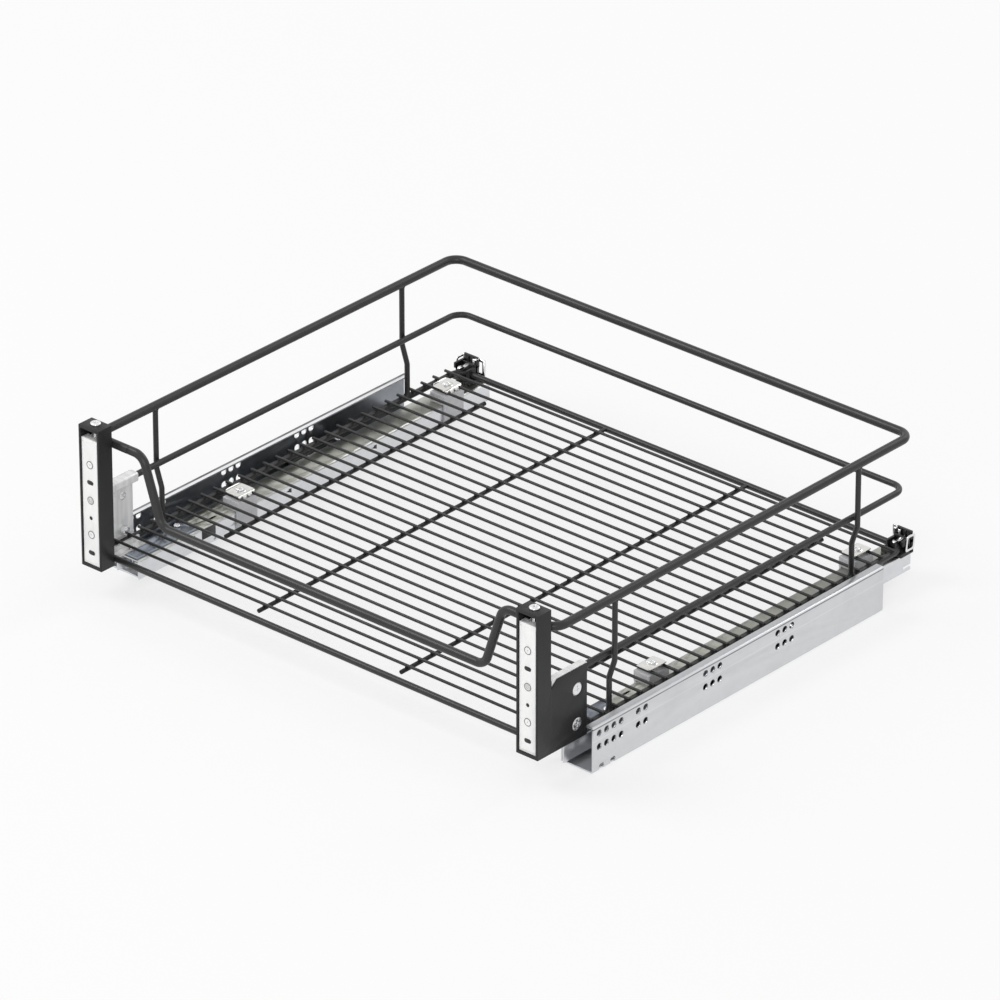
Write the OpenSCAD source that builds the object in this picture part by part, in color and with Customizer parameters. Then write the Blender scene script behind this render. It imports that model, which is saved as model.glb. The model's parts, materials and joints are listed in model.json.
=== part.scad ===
// Wire pull-out drawer for a kitchen base cabinet: a welded wire basket between two
// front posts, carried by a pair of full-extension undermount slides.
// Working frame: X to the right, Y backwards from the front face of the posts,
// Z upwards from the underside of the slides. place() puts the origin at the centre
// of the footprint.

/* [Cabinet] */
// Clear width between the two cabinet sides
opening_w = 564; // [540:1:1000]
// Depth of the basket, from the posts' front face to the middle of its rear wires
basket_depth = 492; // [460:1:520]
// How far the drawer pulls out
drawer_travel = 430; // [300:5:440]

/* [Slides] */
// Length of the cabinet member
cabinet_rail_len = 386; // [384:1:410]
// Front end of the cabinet member, behind the posts' front face
cabinet_rail_front = 52; // [50:1:56]
// Height of the cabinet member's side flange
flange_h = 44.3; // [40:0.1:60]
// Width of the lip along the top of the flange
lip_w = 8; // [5:0.5:12]
// Sheet thickness of the cabinet member
cabinet_sheet = 1.5; // [1.2:0.1:1.8]
// Outer radius of the folds in the slides
fold_r = 2.5; // [1.9:0.1:3]
// Distance from the cabinet side to the middle of the slide
slide_inset = 35; // [34.5:0.1:36]
// Height of the cabinet member's inner web
web_h = 14.5; // [14:0.1:15]
// Width of the track on top of the web
track_w = 9; // [8:0.1:10]
// Width of the middle member
middle_w = 21; // [20:0.1:22]
// Height of the middle member's top face
middle_top = 21.1; // [21:0.1:21.5]
// Front end of the drawer member, behind the posts' front face
drawer_rail_front = 39; // [34:1:42]
// Width of the drawer member
drawer_rail_w = 27; // [26.5:0.1:28]
// Height of the drawer member's top face
drawer_rail_top = 26.5; // [26:0.1:26.8]
// Height of the drawer member's side walls
drawer_rail_h = 18.2; // [15:0.1:19]
// Sheet thickness of the middle and drawer members
slide_sheet = 1.2; // [1:0.1:1.4]

/* [Fixing holes] */
// Diameter of the fixing holes in the flange
flange_hole_d = 6.4; // [4:0.1:7]
// Distance between neighbouring holes in a row
flange_hole_pitch = 9.4; // [8:0.1:10]
// Distance between the two rows of holes
flange_row_gap = 13; // [10:0.5:16]
// Height of the lower row of holes
flange_row_z = 23.7; // [20:0.1:25]
// Distance between the two rear groups of holes
hole_group_gap = 96; // [64:1:128]

/* [Basket] */
// Wire diameter of the top rail
top_rail_d = 8; // [6:0.1:8.4]
// Wire diameter of the middle rail
mid_rail_d = 5.8; // [4:0.1:6]
// Wire diameter of the bottom frame and the front bar
base_wire_d = 6; // [5:0.1:6.4]
// Wire diameter of the floor's cross wires
cross_wire_d = 2.8; // [2:0.1:3]
// Wire diameter of the floor's lengthwise wires
long_wire_d = 4; // [3:0.1:5]
// Wire diameter of the four stanchions
stanchion_d = 5; // [4:0.1:6]
// Number of cross wires in the floor
cross_count = 28; // [26:1:30]
// Height of the top rail above the foot of the posts
top_rail_rise = 118.1; // [110:0.1:126]
// Height of the middle rail above the foot of the posts
mid_rail_rise = 64.1; // [60:0.1:66]
// Depth of the dip in the front of the top rail
dip_depth = 63; // [40:1:70]
// Distance from the cabinet side to the top of the dip
dip_top_inset = 73.5; // [70:0.5:80]
// Distance from the cabinet side to the bottom of the dip
dip_low_inset = 94.6; // [92:0.5:110]
// Bend radius of the rails, on the middle of the wire
rail_bend_r = 13; // [10:0.5:14]

/* [Posts] */
// Width of a front post
post_w = 24.1; // [22:0.1:26]
// Depth of a front post
post_d = 17; // [16:0.1:18]
// Height of a front post
post_h = 138; // [134:1:160]
// Height of the posts' foot above the underside of the slides
post_lift = 28.3; // [28:0.1:29]
// Wall thickness of the posts
post_wall = 2.4; // [2:0.1:2.8]
// Depth of the side plate behind a post
side_plate_len = 46; // [44:0.5:50]
// Height of the side plate
side_plate_h = 68.5; // [68:0.1:72]
// How far the front plates can be raised
plate_travel = 3; // [1:0.5:4]

/* [Hidden] */
$fn = 48;

// Clearances, and the overrun of every cut
weld_gap = 0.1;
slip_gap = 0.3;
thread_gap = 0.1;
ring_t = 0.03;
cut = 1;

// Places across the width
half_w = opening_w / 2;
slide_x = half_w - slide_inset;
post_inset = 16.6;
post_out_x = half_w - post_inset;
post_in_x = post_out_x - post_w;
post_mid_x = (post_out_x + post_in_x) / 2;
top_rail_inset = 15.8;
top_rail_x = half_w - top_rail_inset;
mid_rail_x = top_rail_x - (stanchion_d + mid_rail_d) / 2 - weld_gap;
base_rail_inset = 21.8;
base_rail_x = half_w - base_rail_inset;
wire_overhang = 1.2;
cross_end_x = base_rail_x + base_wire_d / 2 + wire_overhang;
long_wire_inset = 199.1;
long_wire_x = half_w - long_wire_inset;
short_wire_inset = 84;
short_wire_x = half_w - short_wire_inset;

// Heights
base_rail_rise = 5.1;
base_z = post_lift + base_rail_rise;
top_rail_z = post_lift + top_rail_rise;
mid_rail_z = post_lift + mid_rail_rise;
cross_z = base_z + (base_wire_d + cross_wire_d) / 2 + weld_gap;
long_z = cross_z - (cross_wire_d + long_wire_d) / 2 - weld_gap;
post_top_z = post_lift + post_h;

// Places along the depth
front_bar_y = post_d + base_wire_d / 2 + weld_gap;
top_front_y = post_d + top_rail_d / 2 + weld_gap;
frame_front_y = front_bar_y + base_wire_d / 2 + weld_gap;
first_wire_y = 38.7;
wire_pitch = (basket_depth - first_wire_y) / cross_count;
function cross_y(i) = first_wire_y + i * wire_pitch;
hook_sheet = 1.6;
tail_len = 12;
overall_depth = basket_depth + tail_len;
hook_front_y = overall_depth - hook_sheet;
drawer_rail_rear = hook_front_y - weld_gap;
cabinet_rail_rear = cabinet_rail_front + cabinet_rail_len;

// The sheet of a bent profile: a quarter ring of the fold, in quadrant q
module fold(x, z, r, t, q) {
    translate([x, z]) rotate(90 * q) intersection() {
        difference() {
            circle(r = r);
            circle(r = r - t);
        }
        square(r);
    }
}

// A flat strip of a profile between two corners
module strip(x0, z0, x1, z1) {
    translate([x0, z0]) square([x1 - x0, z1 - z0]);
}

// Carries a profile, drawn with Z upwards, along Y
module run_y(y0, y1) {
    translate([0, y1, 0]) rotate([90, 0, 0]) linear_extrude(y1 - y0) children();
}

// A box from one corner to the other
module block(x0, y0, z0, x1, y1, z1) {
    translate([x0, y0, z0]) cube([x1 - x0, y1 - y0, z1 - z0]);
}

// Round bars along each axis, from a starting point
module bar_x(x0, x1, y, z, d) {
    translate([x0, y, z]) rotate([0, 90, 0]) cylinder(h = x1 - x0, d = d);
}
module bar_y(x, y0, y1, z, d) {
    translate([x, y1, z]) rotate([90, 0, 0]) cylinder(h = y1 - y0, d = d);
}
module bar_z(x, y, z0, z1, d) {
    translate([x, y, z0]) cylinder(h = z1 - z0, d = d);
}

// A bent wire in the XY plane: straight runs with a round bend at every inner corner
function direction(p, q) = atan2(q[1] - p[1], q[0] - p[0]);
function turn(p, q, s) = let (a = direction(q, s) - direction(p, q))
    a > 180 ? a - 360 : a < -180 ? a + 360 : a;
function setback(pts, i, r) = i == 0 || i == len(pts) - 1 ? 0
    : r * tan(abs(turn(pts[i - 1], pts[i], pts[i + 1])) / 2);
module bent_wire(pts, d, r) {
    translate([pts[0][0], pts[0][1], 0]) rotate([0, 0, direction(pts[0], pts[1])])
        wire_run(pts, d, r, 0, 1);
}
module wire_run(pts, d, r, i, side) {
    run = norm(pts[i + 1] - pts[i]) - setback(pts, i, r) - setback(pts, i + 1, r);
    rotate([0, 90, 0]) cylinder(h = run, d = d);
    if (i < len(pts) - 2) {
        w = turn(pts[i], pts[i + 1], pts[i + 2]);
        next = w > 0 ? 1 : -1;
        translate([run, 0, 0]) mirror([0, next == side ? 0 : 1, 0]) translate([0, r, 0]) {
            rotate([0, 0, -90]) rotate_extrude(angle = abs(w)) translate([r, 0]) circle(d = d);
            rotate([0, 0, abs(w)]) translate([0, -r, 0]) {
                wire_run(pts, d, r, i + 1, next);
                // A hair-wide ring closes the joint after a slanting bend
                if (abs(w) % 90 > 0) bar_x(-ring_t, ring_t, 0, 0, d + ring_t);
            }
        }
    }
}

// Draws the right-hand piece, its mirror image on the left, or both
module right_side() {
    children();
}
module left_side() {
    mirror([1, 0, 0]) children();
}
module both_sides() {
    right_side() children();
    left_side() children();
}

// The origin lies under the middle of the footprint
module place() {
    translate([0, -overall_depth / 2, 0]) children();
}

// Cabinet member: flange with a lip, floor, and an inner web with the track on top
hole_groups_y = [22.1, 63.2, 155.8];
hole_group_columns = [4, 2, 3, 3];
function group_y(i) = cabinet_rail_front
    + (i < 3 ? hole_groups_y[i] : hole_groups_y[2] + hole_group_gap);
notch_y = [8, 22.5];
notch_len = 6.5;
notch_h = 6.4;
notch_r = 2;
module cabinet_profile() {
    t = cabinet_sheet;
    r = fold_r;
    fold(half_w - r, r, r, t, 3);
    strip(half_w - t, r, half_w, flange_h - r);
    fold(half_w - r, flange_h - r, r, t, 0);
    strip(half_w - lip_w, flange_h - t, half_w - r, flange_h);
    strip(slide_x - t / 2, 0, half_w - r, t);
    strip(slide_x - t / 2, 0, slide_x + t / 2, web_h);
    strip(slide_x - track_w / 2, web_h - t, slide_x + track_w / 2, web_h);
}
module flange_notch(y) {
    x0 = half_w - cabinet_sheet - cut;
    block(x0, y, -cut, half_w + cut, y + notch_len, notch_h - notch_r);
    block(x0, y + notch_r, -cut, half_w + cut, y + notch_len - notch_r, notch_h);
    for (py = [y + notch_r, y + notch_len - notch_r])
        bar_x(x0, half_w + cut, py, notch_h - notch_r, 2 * notch_r);
}
module cabinet_rail() {
    color([0.80, 0.81, 0.82]) difference() {
        run_y(cabinet_rail_front, cabinet_rail_rear) cabinet_profile();
        for (g = [0 : 3])
            for (c = [0 : hole_group_columns[g] - 1])
                for (row = [0, 1])
                    bar_x(half_w - cabinet_sheet - cut, half_w + cut,
                        group_y(g) + (c - (hole_group_columns[g] - 1) / 2) * flange_hole_pitch,
                        flange_row_z + row * flange_row_gap, flange_hole_d);
        for (n = notch_y)
            flange_notch(cabinet_rail_front + n);
    }
}

// Self-closing unit, on the floor of the cabinet member beside the slide
closer_len = 145;
closer_w = 16;
closer_h = 15;
closer_wall = 1.2;
closer_end_gap = 13;
closer_side_gap = 3;
closer_rear = cabinet_rail_rear - closer_end_gap;
closer_front = closer_rear - closer_len;
closer_x0 = slide_x + drawer_rail_w / 2 + closer_side_gap;
closer_x1 = closer_x0 + closer_w;
closer_z0 = cabinet_sheet;
closer_z1 = closer_z0 + closer_h;
catch_travel = 40;
catch_len = 12;
catch_front = closer_front + closer_wall + catch_travel + 2 * slip_gap;
catch_finger_w = 4;
catch_finger_h = 2.3;
damper_d = 8;
damper_len = 78;
damper_rod_d = 3;
damper_rod_len = 66;
damper_x = closer_x0 + closer_wall + slip_gap + damper_d / 2;
damper_z = closer_z0 + closer_h / 2;
damper_rear = closer_rear - closer_wall - slip_gap;
spring_d = 4.4;
spring_x = closer_x1 - closer_wall - slip_gap - spring_d / 2;
finger_x = closer_x0 + closer_w / 3;
module closer_housing() {
    slot_x0 = finger_x - slip_gap;
    slot_x1 = finger_x + catch_finger_w + slip_gap;
    color([0.13, 0.13, 0.14]) difference() {
        block(closer_x0, closer_front, closer_z0, closer_x1, closer_rear, closer_z1);
        block(closer_x0 + closer_wall, closer_front + closer_wall, closer_z0 + closer_wall,
            closer_x1 - closer_wall, closer_rear - closer_wall, closer_z1 - closer_wall);
        block(slot_x0, closer_front + closer_wall, closer_z1 - 2 * closer_wall,
            slot_x1, catch_front + catch_len + slip_gap, closer_z1 + cut);
    }
}
module damper_cylinder() {
    front = damper_rear - damper_len;
    bore = damper_rod_d + 2 * slip_gap;
    color([0.72, 0.73, 0.75]) difference() {
        bar_y(damper_x, front, damper_rear, damper_z, damper_d);
        bar_y(damper_x, front - cut, damper_rear - damper_d / 2, damper_z, bore);
    }
}
module closer_spring() {
    front = damper_rear - damper_len;
    color([0.6, 0.6, 0.62]) difference() {
        bar_y(spring_x, front, damper_rear, damper_z, spring_d);
        bar_y(spring_x, front - cut, damper_rear + cut, damper_z, spring_d / 2);
    }
}
module closer_catch() {
    rear = catch_front + catch_len;
    bore = damper_rod_d + 2 * thread_gap;
    color([0.85, 0.35, 0.12]) difference() {
        union() {
            block(closer_x0 + closer_wall + slip_gap, catch_front, closer_z0 + closer_wall + slip_gap,
                closer_x1 - closer_wall - slip_gap, rear, closer_z1 - closer_wall - slip_gap);
            block(finger_x, catch_front + catch_len / 3, closer_z1 - 2 * closer_wall,
                finger_x + catch_finger_w, rear, closer_z1 + catch_finger_h);
        }
        bar_y(damper_x, catch_front + catch_len / 2, rear + cut, damper_z, bore);
    }
}
module damper_rod() {
    front = catch_front + catch_len / 2 + thread_gap;
    color([0.82, 0.83, 0.85]) bar_y(damper_x, front, front + damper_rod_len, damper_z, damper_rod_d);
}

// A channel open at the bottom, with a round fold at both top corners
module inverted_channel(w, top, h, t, r) {
    strip(slide_x - w / 2, top - h, slide_x - w / 2 + t, top - r);
    strip(slide_x + w / 2 - t, top - h, slide_x + w / 2, top - r);
    strip(slide_x - w / 2 + r, top - t, slide_x + w / 2 - r, top);
    fold(slide_x - w / 2 + r, top - r, r, t, 1);
    fold(slide_x + w / 2 - r, top - r, r, t, 0);
}

// Middle member, between the cabinet member's web and the drawer member
middle_h = 15.1;
middle_toe = 3;
middle_setback = 3;
middle_front = cabinet_rail_front + middle_setback;
middle_rear = cabinet_rail_rear - middle_setback;
module middle_rail() {
    t = slide_sheet;
    z0 = middle_top - middle_h;
    color([0.76, 0.77, 0.79]) run_y(middle_front, middle_rear) {
        inverted_channel(middle_w, middle_top, middle_h, t, fold_r);
        strip(slide_x - middle_w / 2, z0, slide_x - middle_w / 2 + middle_toe, z0 + t);
        strip(slide_x + middle_w / 2 - middle_toe, z0, slide_x + middle_w / 2, z0 + t);
    }
}

// Roller cages: a flat strip with one pocket for each roller. A cage moves half as far as
// the member above it, and stays between both members at full travel
cage_t = 1.6;
lower_gap_z0 = web_h;
lower_gap_z1 = middle_top - slide_sheet;
upper_gap_z0 = middle_top;
upper_gap_z1 = drawer_rail_top - slide_sheet;
lower_roller_d = lower_gap_z1 - lower_gap_z0 - 2 * slip_gap;
upper_roller_d = upper_gap_z1 - upper_gap_z0 - 2 * slip_gap;
lower_roller_w = 6.4;
upper_roller_w = 13;
cage_margin = 2.5;
lower_cage_y = [middle_front + drawer_travel / 4 + cage_margin,
    middle_rear - drawer_travel / 4 - cage_margin];
upper_cage_y = [middle_front + drawer_travel / 4 + cage_margin,
    drawer_rail_rear - drawer_travel / 4 - cage_margin];
lower_roller_count = 8;
upper_roller_count = 10;
cage_rim = 1.1;
function roller_y(span, n, i) = span[0] + (i + 1 / 2) * (span[1] - span[0]) / n;
module rollers(span, n, d, w, z) {
    for (i = [0 : n - 1])
        bar_x(slide_x - w / 2, slide_x + w / 2, roller_y(span, n, i), z, d);
}
module roller_cage(span, n, d, w, z) {
    wide = w / 2 + slip_gap;
    difference() {
        block(slide_x - wide - cage_rim, span[0], z - cage_t / 2,
            slide_x + wide + cage_rim, span[1], z + cage_t / 2);
        for (i = [0 : n - 1])
            block(slide_x - wide, roller_y(span, n, i) - d / 2 - slip_gap, z - cage_t,
                slide_x + wide, roller_y(span, n, i) + d / 2 + slip_gap, z + cage_t);
    }
}
lower_cage_z = (lower_gap_z0 + lower_gap_z1) / 2;
upper_cage_z = (upper_gap_z0 + upper_gap_z1) / 2;
module lower_cage() {
    color([0.90, 0.90, 0.86])
        roller_cage(lower_cage_y, lower_roller_count, lower_roller_d, lower_roller_w, lower_cage_z);
}
module upper_cage() {
    color([0.90, 0.90, 0.86])
        roller_cage(upper_cage_y, upper_roller_count, upper_roller_d, upper_roller_w, upper_cage_z);
}
module lower_rollers() {
    color([0.78, 0.79, 0.81])
        rollers(lower_cage_y, lower_roller_count, lower_roller_d, lower_roller_w, lower_cage_z);
}
module upper_rollers() {
    color([0.78, 0.79, 0.81])
        rollers(upper_cage_y, upper_roller_count, upper_roller_d, upper_roller_w, upper_cage_z);
}

// Drawer member, and the pins that work the self-closing units
window_back = [82, 97];
window_h = 7;
lance_back = [191, 304];
lance_len = 5;
top_slot_back = 99;
top_slot_len = 8;
top_slot_w = 2.5;
small_hole_d = 3;
catch_pin_d = 4;
catch_pin_z = closer_z1 + catch_finger_h + slip_gap + catch_pin_d / 2 + slip_gap;
catch_pin_x1 = finger_x + catch_finger_w;
module drawer_rail() {
    t = slide_sheet;
    x_in = slide_x - drawer_rail_w / 2;
    x_out = slide_x + drawer_rail_w / 2;
    z_low = drawer_rail_top - drawer_rail_h;
    z_wall = drawer_rail_top - fold_r;
    y0 = drawer_rail_front;
    color([0.80, 0.81, 0.82]) difference() {
        run_y(y0, drawer_rail_rear)
            inverted_channel(drawer_rail_w, drawer_rail_top, drawer_rail_h, t, fold_r);
        block(x_in - cut, y0 + window_back[0], z_wall - window_h,
            x_in + t + cut, y0 + window_back[1], z_wall);
        for (back = lance_back)
            block(x_in - cut, y0 + back, z_wall - window_h,
                x_in + t + cut, y0 + back + lance_len, z_wall - window_h / 2);
        block(slide_x - drawer_rail_w / 4, y0 + top_slot_back, drawer_rail_top - t - cut,
            slide_x - drawer_rail_w / 4 + top_slot_w, y0 + top_slot_back + top_slot_len,
            drawer_rail_top + cut);
        bar_x(x_in - cut, x_in + t + cut, y0 + window_back[1], z_low + small_hole_d, small_hole_d);
        block(x_out - t - cut, drawer_rail_rear - 2 * lance_len, z_low + small_hole_d,
            x_out + cut, drawer_rail_rear + cut, z_low + small_hole_d + top_slot_w);
        for (y = adapter_screw_y)
            bar_z(adapter_screw_x, y, drawer_rail_top - t - cut, drawer_rail_top + cut,
                adapter_screw_d + 2 * thread_gap);
    }
}
module catch_pins() {
    color([0.78, 0.79, 0.81]) both_sides()
        bar_x(slide_x + drawer_rail_w / 2 + weld_gap, catch_pin_x1, catch_front + catch_len,
            catch_pin_z, catch_pin_d);
}

// Plate on the front of the drawer member, which carries the bracket's foot
adapter_h = 2.5;
adapter_z0 = drawer_rail_top + weld_gap;
adapter_z1 = adapter_z0 + adapter_h;
adapter_setback = 1;
adapter_len = 78;
adapter_y0 = drawer_rail_front + adapter_setback;
adapter_y1 = adapter_y0 + adapter_len;
adapter_overhang = 1.2;
adapter_x0 = slide_x - drawer_rail_w / 2 + fold_r;
adapter_x1 = slide_x + drawer_rail_w / 2 + adapter_overhang;
adapter_screw_d = 4;
adapter_screw_x = slide_x + adapter_screw_d;
adapter_screw_y = [adapter_y0 + 2 * adapter_screw_d, adapter_y1 - 3 * adapter_screw_d];
module front_adapter() {
    color([0.16, 0.17, 0.18]) difference() {
        block(adapter_x0, adapter_y0, adapter_z0, adapter_x1, adapter_y1, adapter_z1);
        for (y = adapter_screw_y)
            bar_z(adapter_screw_x, y, adapter_z0 - cut, adapter_z1 + cut,
                adapter_screw_d + 2 * thread_gap);
    }
}

// Screws of the adapter. The front one also holds the bracket's foot
adapter_screw_tip = 1;
pan_head_d = 7;
pan_head_h = 1.6;
recess_w = 0.9;
module pan_screw(x, y, z0, z1) {
    difference() {
        union() {
            bar_z(x, y, z0, z1 + pan_head_h / 2, adapter_screw_d);
            bar_z(x, y, z1, z1 + pan_head_h, pan_head_d);
        }
        for (a = [0, 90])
            translate([x, y, z1 + pan_head_h]) rotate([0, 0, a])
                cube([pan_head_d * 2 / 3, recess_w, pan_head_h], center = true);
    }
}
module adapter_screws() {
    tip = drawer_rail_top - slide_sheet - adapter_screw_tip;
    color([0.70, 0.71, 0.73]) both_sides() {
        pan_screw(adapter_screw_x, adapter_screw_y[0], tip, foot_z1 + weld_gap);
        pan_screw(adapter_screw_x, adapter_screw_y[1], tip, adapter_z1 + weld_gap);
    }
}

// Black holder that clips over the rear corner of the bottom frame
holder_reach = 10;
holder_inner = 7;
holder_outer_wall = 0.45;
holder_y0 = basket_depth - holder_reach;
holder_y1 = hook_front_y - weld_gap;
holder_x0 = slide_x - holder_inner;
holder_x1 = base_rail_x + base_wire_d / 2 + holder_outer_wall;
holder_h = 15.6;
holder_ear_h = 8;
holder_ear_t = 3;
holder_step = 7;
module rear_holder() {
    z0 = drawer_rail_top + weld_gap;
    z1 = z0 + holder_h;
    ear_x0 = holder_x0 + holder_step;
    slot = base_wire_d / 2 + slip_gap;
    color([0.07, 0.07, 0.075]) difference() {
        union() {
            block(holder_x0, holder_y0, z0, holder_x1, holder_y1, z1);
            block(ear_x0, holder_y1 - holder_ear_t, z1 - cut, holder_x1, holder_y1, z1 + holder_ear_h);
            block(ear_x0, holder_y0, z1 - cut, ear_x0 + holder_ear_t, holder_y1, z1 + holder_ear_h / 2);
        }
        translate([0, 0, base_z])
            bent_wire(frame_path(), base_wire_d + 2 * slip_gap, rail_bend_r);
        block(holder_x0 - cut, basket_depth - slot, base_z, ear_x0, basket_depth + slot, z1 + cut);
    }
}

// Upturned steel hook at the rear end of the drawer member
hook_w = 21;
hook_h = 20.7;
hook_rim = 3.2;
hook_window_h = 11;
hook_x1 = slide_x + drawer_rail_w / 2;
hook_x0 = hook_x1 - hook_w;
hook_z0 = drawer_rail_top - slide_sheet;
module rear_hook() {
    z1 = hook_z0 + hook_h;
    color([0.78, 0.79, 0.80]) difference() {
        block(hook_x0, hook_front_y, hook_z0, hook_x1, overall_depth, z1);
        block(hook_x0 + hook_rim, hook_front_y - cut, z1 - hook_rim - hook_window_h,
            hook_x1 - hook_rim, overall_depth + cut, z1 - hook_rim);
    }
}

// Basket clip: a plastic body on the drawer member, a steel plate over two cross wires.
// Each clip stands behind the wire that is counted here from the front
clip_len = 26;
clip_w = 18;
clip_wing = 2;
clip_reach = 2;
clip_x1 = slide_x + clip_reach;
clip_x0 = clip_x1 - clip_w;
clip_top = cross_z - cross_wire_d / 2 - slip_gap;
clip_boss_w = 9;
clip_screw_d = 4;
clip_plate_t = 1.6;
clip_plate_z = cross_z + cross_wire_d / 2 + slip_gap;
front_clip_wire_count = 8;
rear_clip_wire_count = cross_count - 3;
clip_head_d = 7;
clip_head_h = 1.6;
clip_recess_w = 0.8;
function clip_y(i) = cross_y(i) + wire_pitch / 2;
module clip_body(y) {
    x_mid = (clip_x0 + clip_x1) / 2;
    z0 = drawer_rail_top + weld_gap;
    x_wing = slide_x - drawer_rail_w / 2 - weld_gap;
    color([0.86, 0.86, 0.87]) difference() {
        union() {
            block(clip_x0, y - clip_len / 2, z0, clip_x1, y + clip_len / 2, clip_top);
            block(x_wing - clip_wing, y - clip_len / 2, drawer_rail_top - drawer_rail_h,
                x_wing, y + clip_len / 2, clip_top);
            block(x_mid - clip_boss_w / 2, y - clip_boss_w / 2, clip_top - cut,
                x_mid + clip_boss_w / 2, y + clip_boss_w / 2, clip_plate_z - weld_gap);
        }
        bar_z(x_mid, y, z0 + clip_wing, clip_plate_z + cut, clip_screw_d + 2 * thread_gap);
    }
}
module clip_plate(y) {
    x_mid = (clip_x0 + clip_x1) / 2;
    difference() {
        block(clip_x0 - clip_wing, y - clip_len / 2, clip_plate_z, clip_x1, y + clip_len / 2,
            clip_plate_z + clip_plate_t);
        bar_z(x_mid, y, clip_plate_z - cut, clip_plate_z + clip_plate_t + cut,
            clip_screw_d + 2 * thread_gap);
    }
}
module clip_screw(y) {
    x_mid = (clip_x0 + clip_x1) / 2;
    z1 = clip_plate_z + clip_plate_t + weld_gap;
    difference() {
        union() {
            bar_z(x_mid, y, drawer_rail_top + 2 * clip_wing, z1 + clip_head_h / 4, clip_screw_d);
            bar_z(x_mid, y, z1, z1 + clip_head_h, clip_head_d);
        }
        for (a = [0, 90])
            translate([x_mid, y, z1 + clip_head_h]) rotate([0, 0, a])
                cube([clip_head_d * 2 / 3, clip_recess_w, clip_head_h], center = true);
    }
}
module clip_plates() {
    color([0.84, 0.85, 0.86]) both_sides()
        for (i = [front_clip_wire_count, rear_clip_wire_count])
            clip_plate(clip_y(i));
}
module clip_screws() {
    color([0.70, 0.71, 0.73]) both_sides()
        for (i = [front_clip_wire_count, rear_clip_wire_count])
            clip_screw(clip_y(i));
}

// Top rail: one closed loop that passes behind the posts and dips at the front
loop_join_inset = 57;
module top_rail() {
    x = top_rail_x;
    join = half_w - loop_join_inset;
    dip = [[join, 0], [half_w - dip_top_inset, 0], [half_w - dip_low_inset, -dip_depth],
        [0, -dip_depth]];
    loop = [[join, top_front_y], [x, top_front_y], [x, basket_depth], [0, basket_depth]];
    color([0.25, 0.25, 0.26]) both_sides() {
        translate([0, 0, top_rail_z]) bent_wire(loop, top_rail_d, rail_bend_r);
        translate([0, top_front_y, top_rail_z]) rotate([90, 0, 0])
            bent_wire(dip, top_rail_d, rail_bend_r);
    }
}

// Middle rail: a U in plan, its ends in the brackets' sleeves
bracket_setback = 2;
bracket_front = post_d + bracket_setback;
mid_rail_front = bracket_front + bracket_setback;
module mid_rail() {
    x = mid_rail_x;
    path = [[-x, mid_rail_front], [-x, basket_depth], [x, basket_depth], [x, mid_rail_front]];
    color([0.25, 0.25, 0.26]) translate([0, 0, mid_rail_z])
        bent_wire(path, mid_rail_d, rail_bend_r);
}

// Bottom frame: a U in plan that carries the floor wires
function frame_path() = [[-base_rail_x, frame_front_y], [-base_rail_x, basket_depth],
    [base_rail_x, basket_depth], [base_rail_x, frame_front_y]];
module bottom_frame() {
    color([0.22, 0.22, 0.23]) translate([0, 0, base_z])
        bent_wire(frame_path(), base_wire_d, rail_bend_r);
}
module front_bar() {
    x = bracket_x0 - weld_gap;
    color([0.25, 0.25, 0.26]) bar_x(-x, x, front_bar_y, base_z, base_wire_d);
}

// Stanchion: passes outside the middle rail, then bends in to stand on the bottom frame
stanchion_front_y = 97.5;
stanchion_rear_gap = 72;
stanchion_rear_y = basket_depth - stanchion_rear_gap;
joggle_top = 57;
joggle_low = 39;
joggle_r = 10;
module stanchion(y) {
    z0 = base_z + base_wire_d / 2 + weld_gap;
    z1 = top_rail_z - top_rail_d / 2 - weld_gap;
    path = [[base_rail_x, z0], [base_rail_x, post_lift + joggle_low],
        [top_rail_x, post_lift + joggle_top], [top_rail_x, z1]];
    color([0.25, 0.25, 0.26]) translate([0, y, 0]) rotate([90, 0, 0])
        bent_wire(path, stanchion_d, joggle_r);
}

// Floor wires. Those beside the brackets are a little shorter
module cross_wires() {
    color([0.25, 0.25, 0.26])
        for (i = [0 : cross_count - 1]) {
            y = cross_y(i);
            x = y < bracket_rear + cross_wire_d ? bracket_x0 - slip_gap : cross_end_x;
            bar_x(-x, x, y, cross_z, cross_wire_d);
        }
}
long_wire_front = 30.8;
short_wire_front = 112;
short_wire_rear_gap = 36;
module long_wires() {
    rear = basket_depth - base_wire_d / 2 - weld_gap;
    color([0.10, 0.10, 0.105])
        for (x = [-long_wire_x, long_wire_x])
            bar_y(x, long_wire_front, rear, long_z, long_wire_d);
}
module short_wires() {
    color([0.10, 0.10, 0.105])
        for (x = [-short_wire_x, short_wire_x])
            bar_y(x, short_wire_front, basket_depth - short_wire_rear_gap, long_z, long_wire_d);
}

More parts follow.
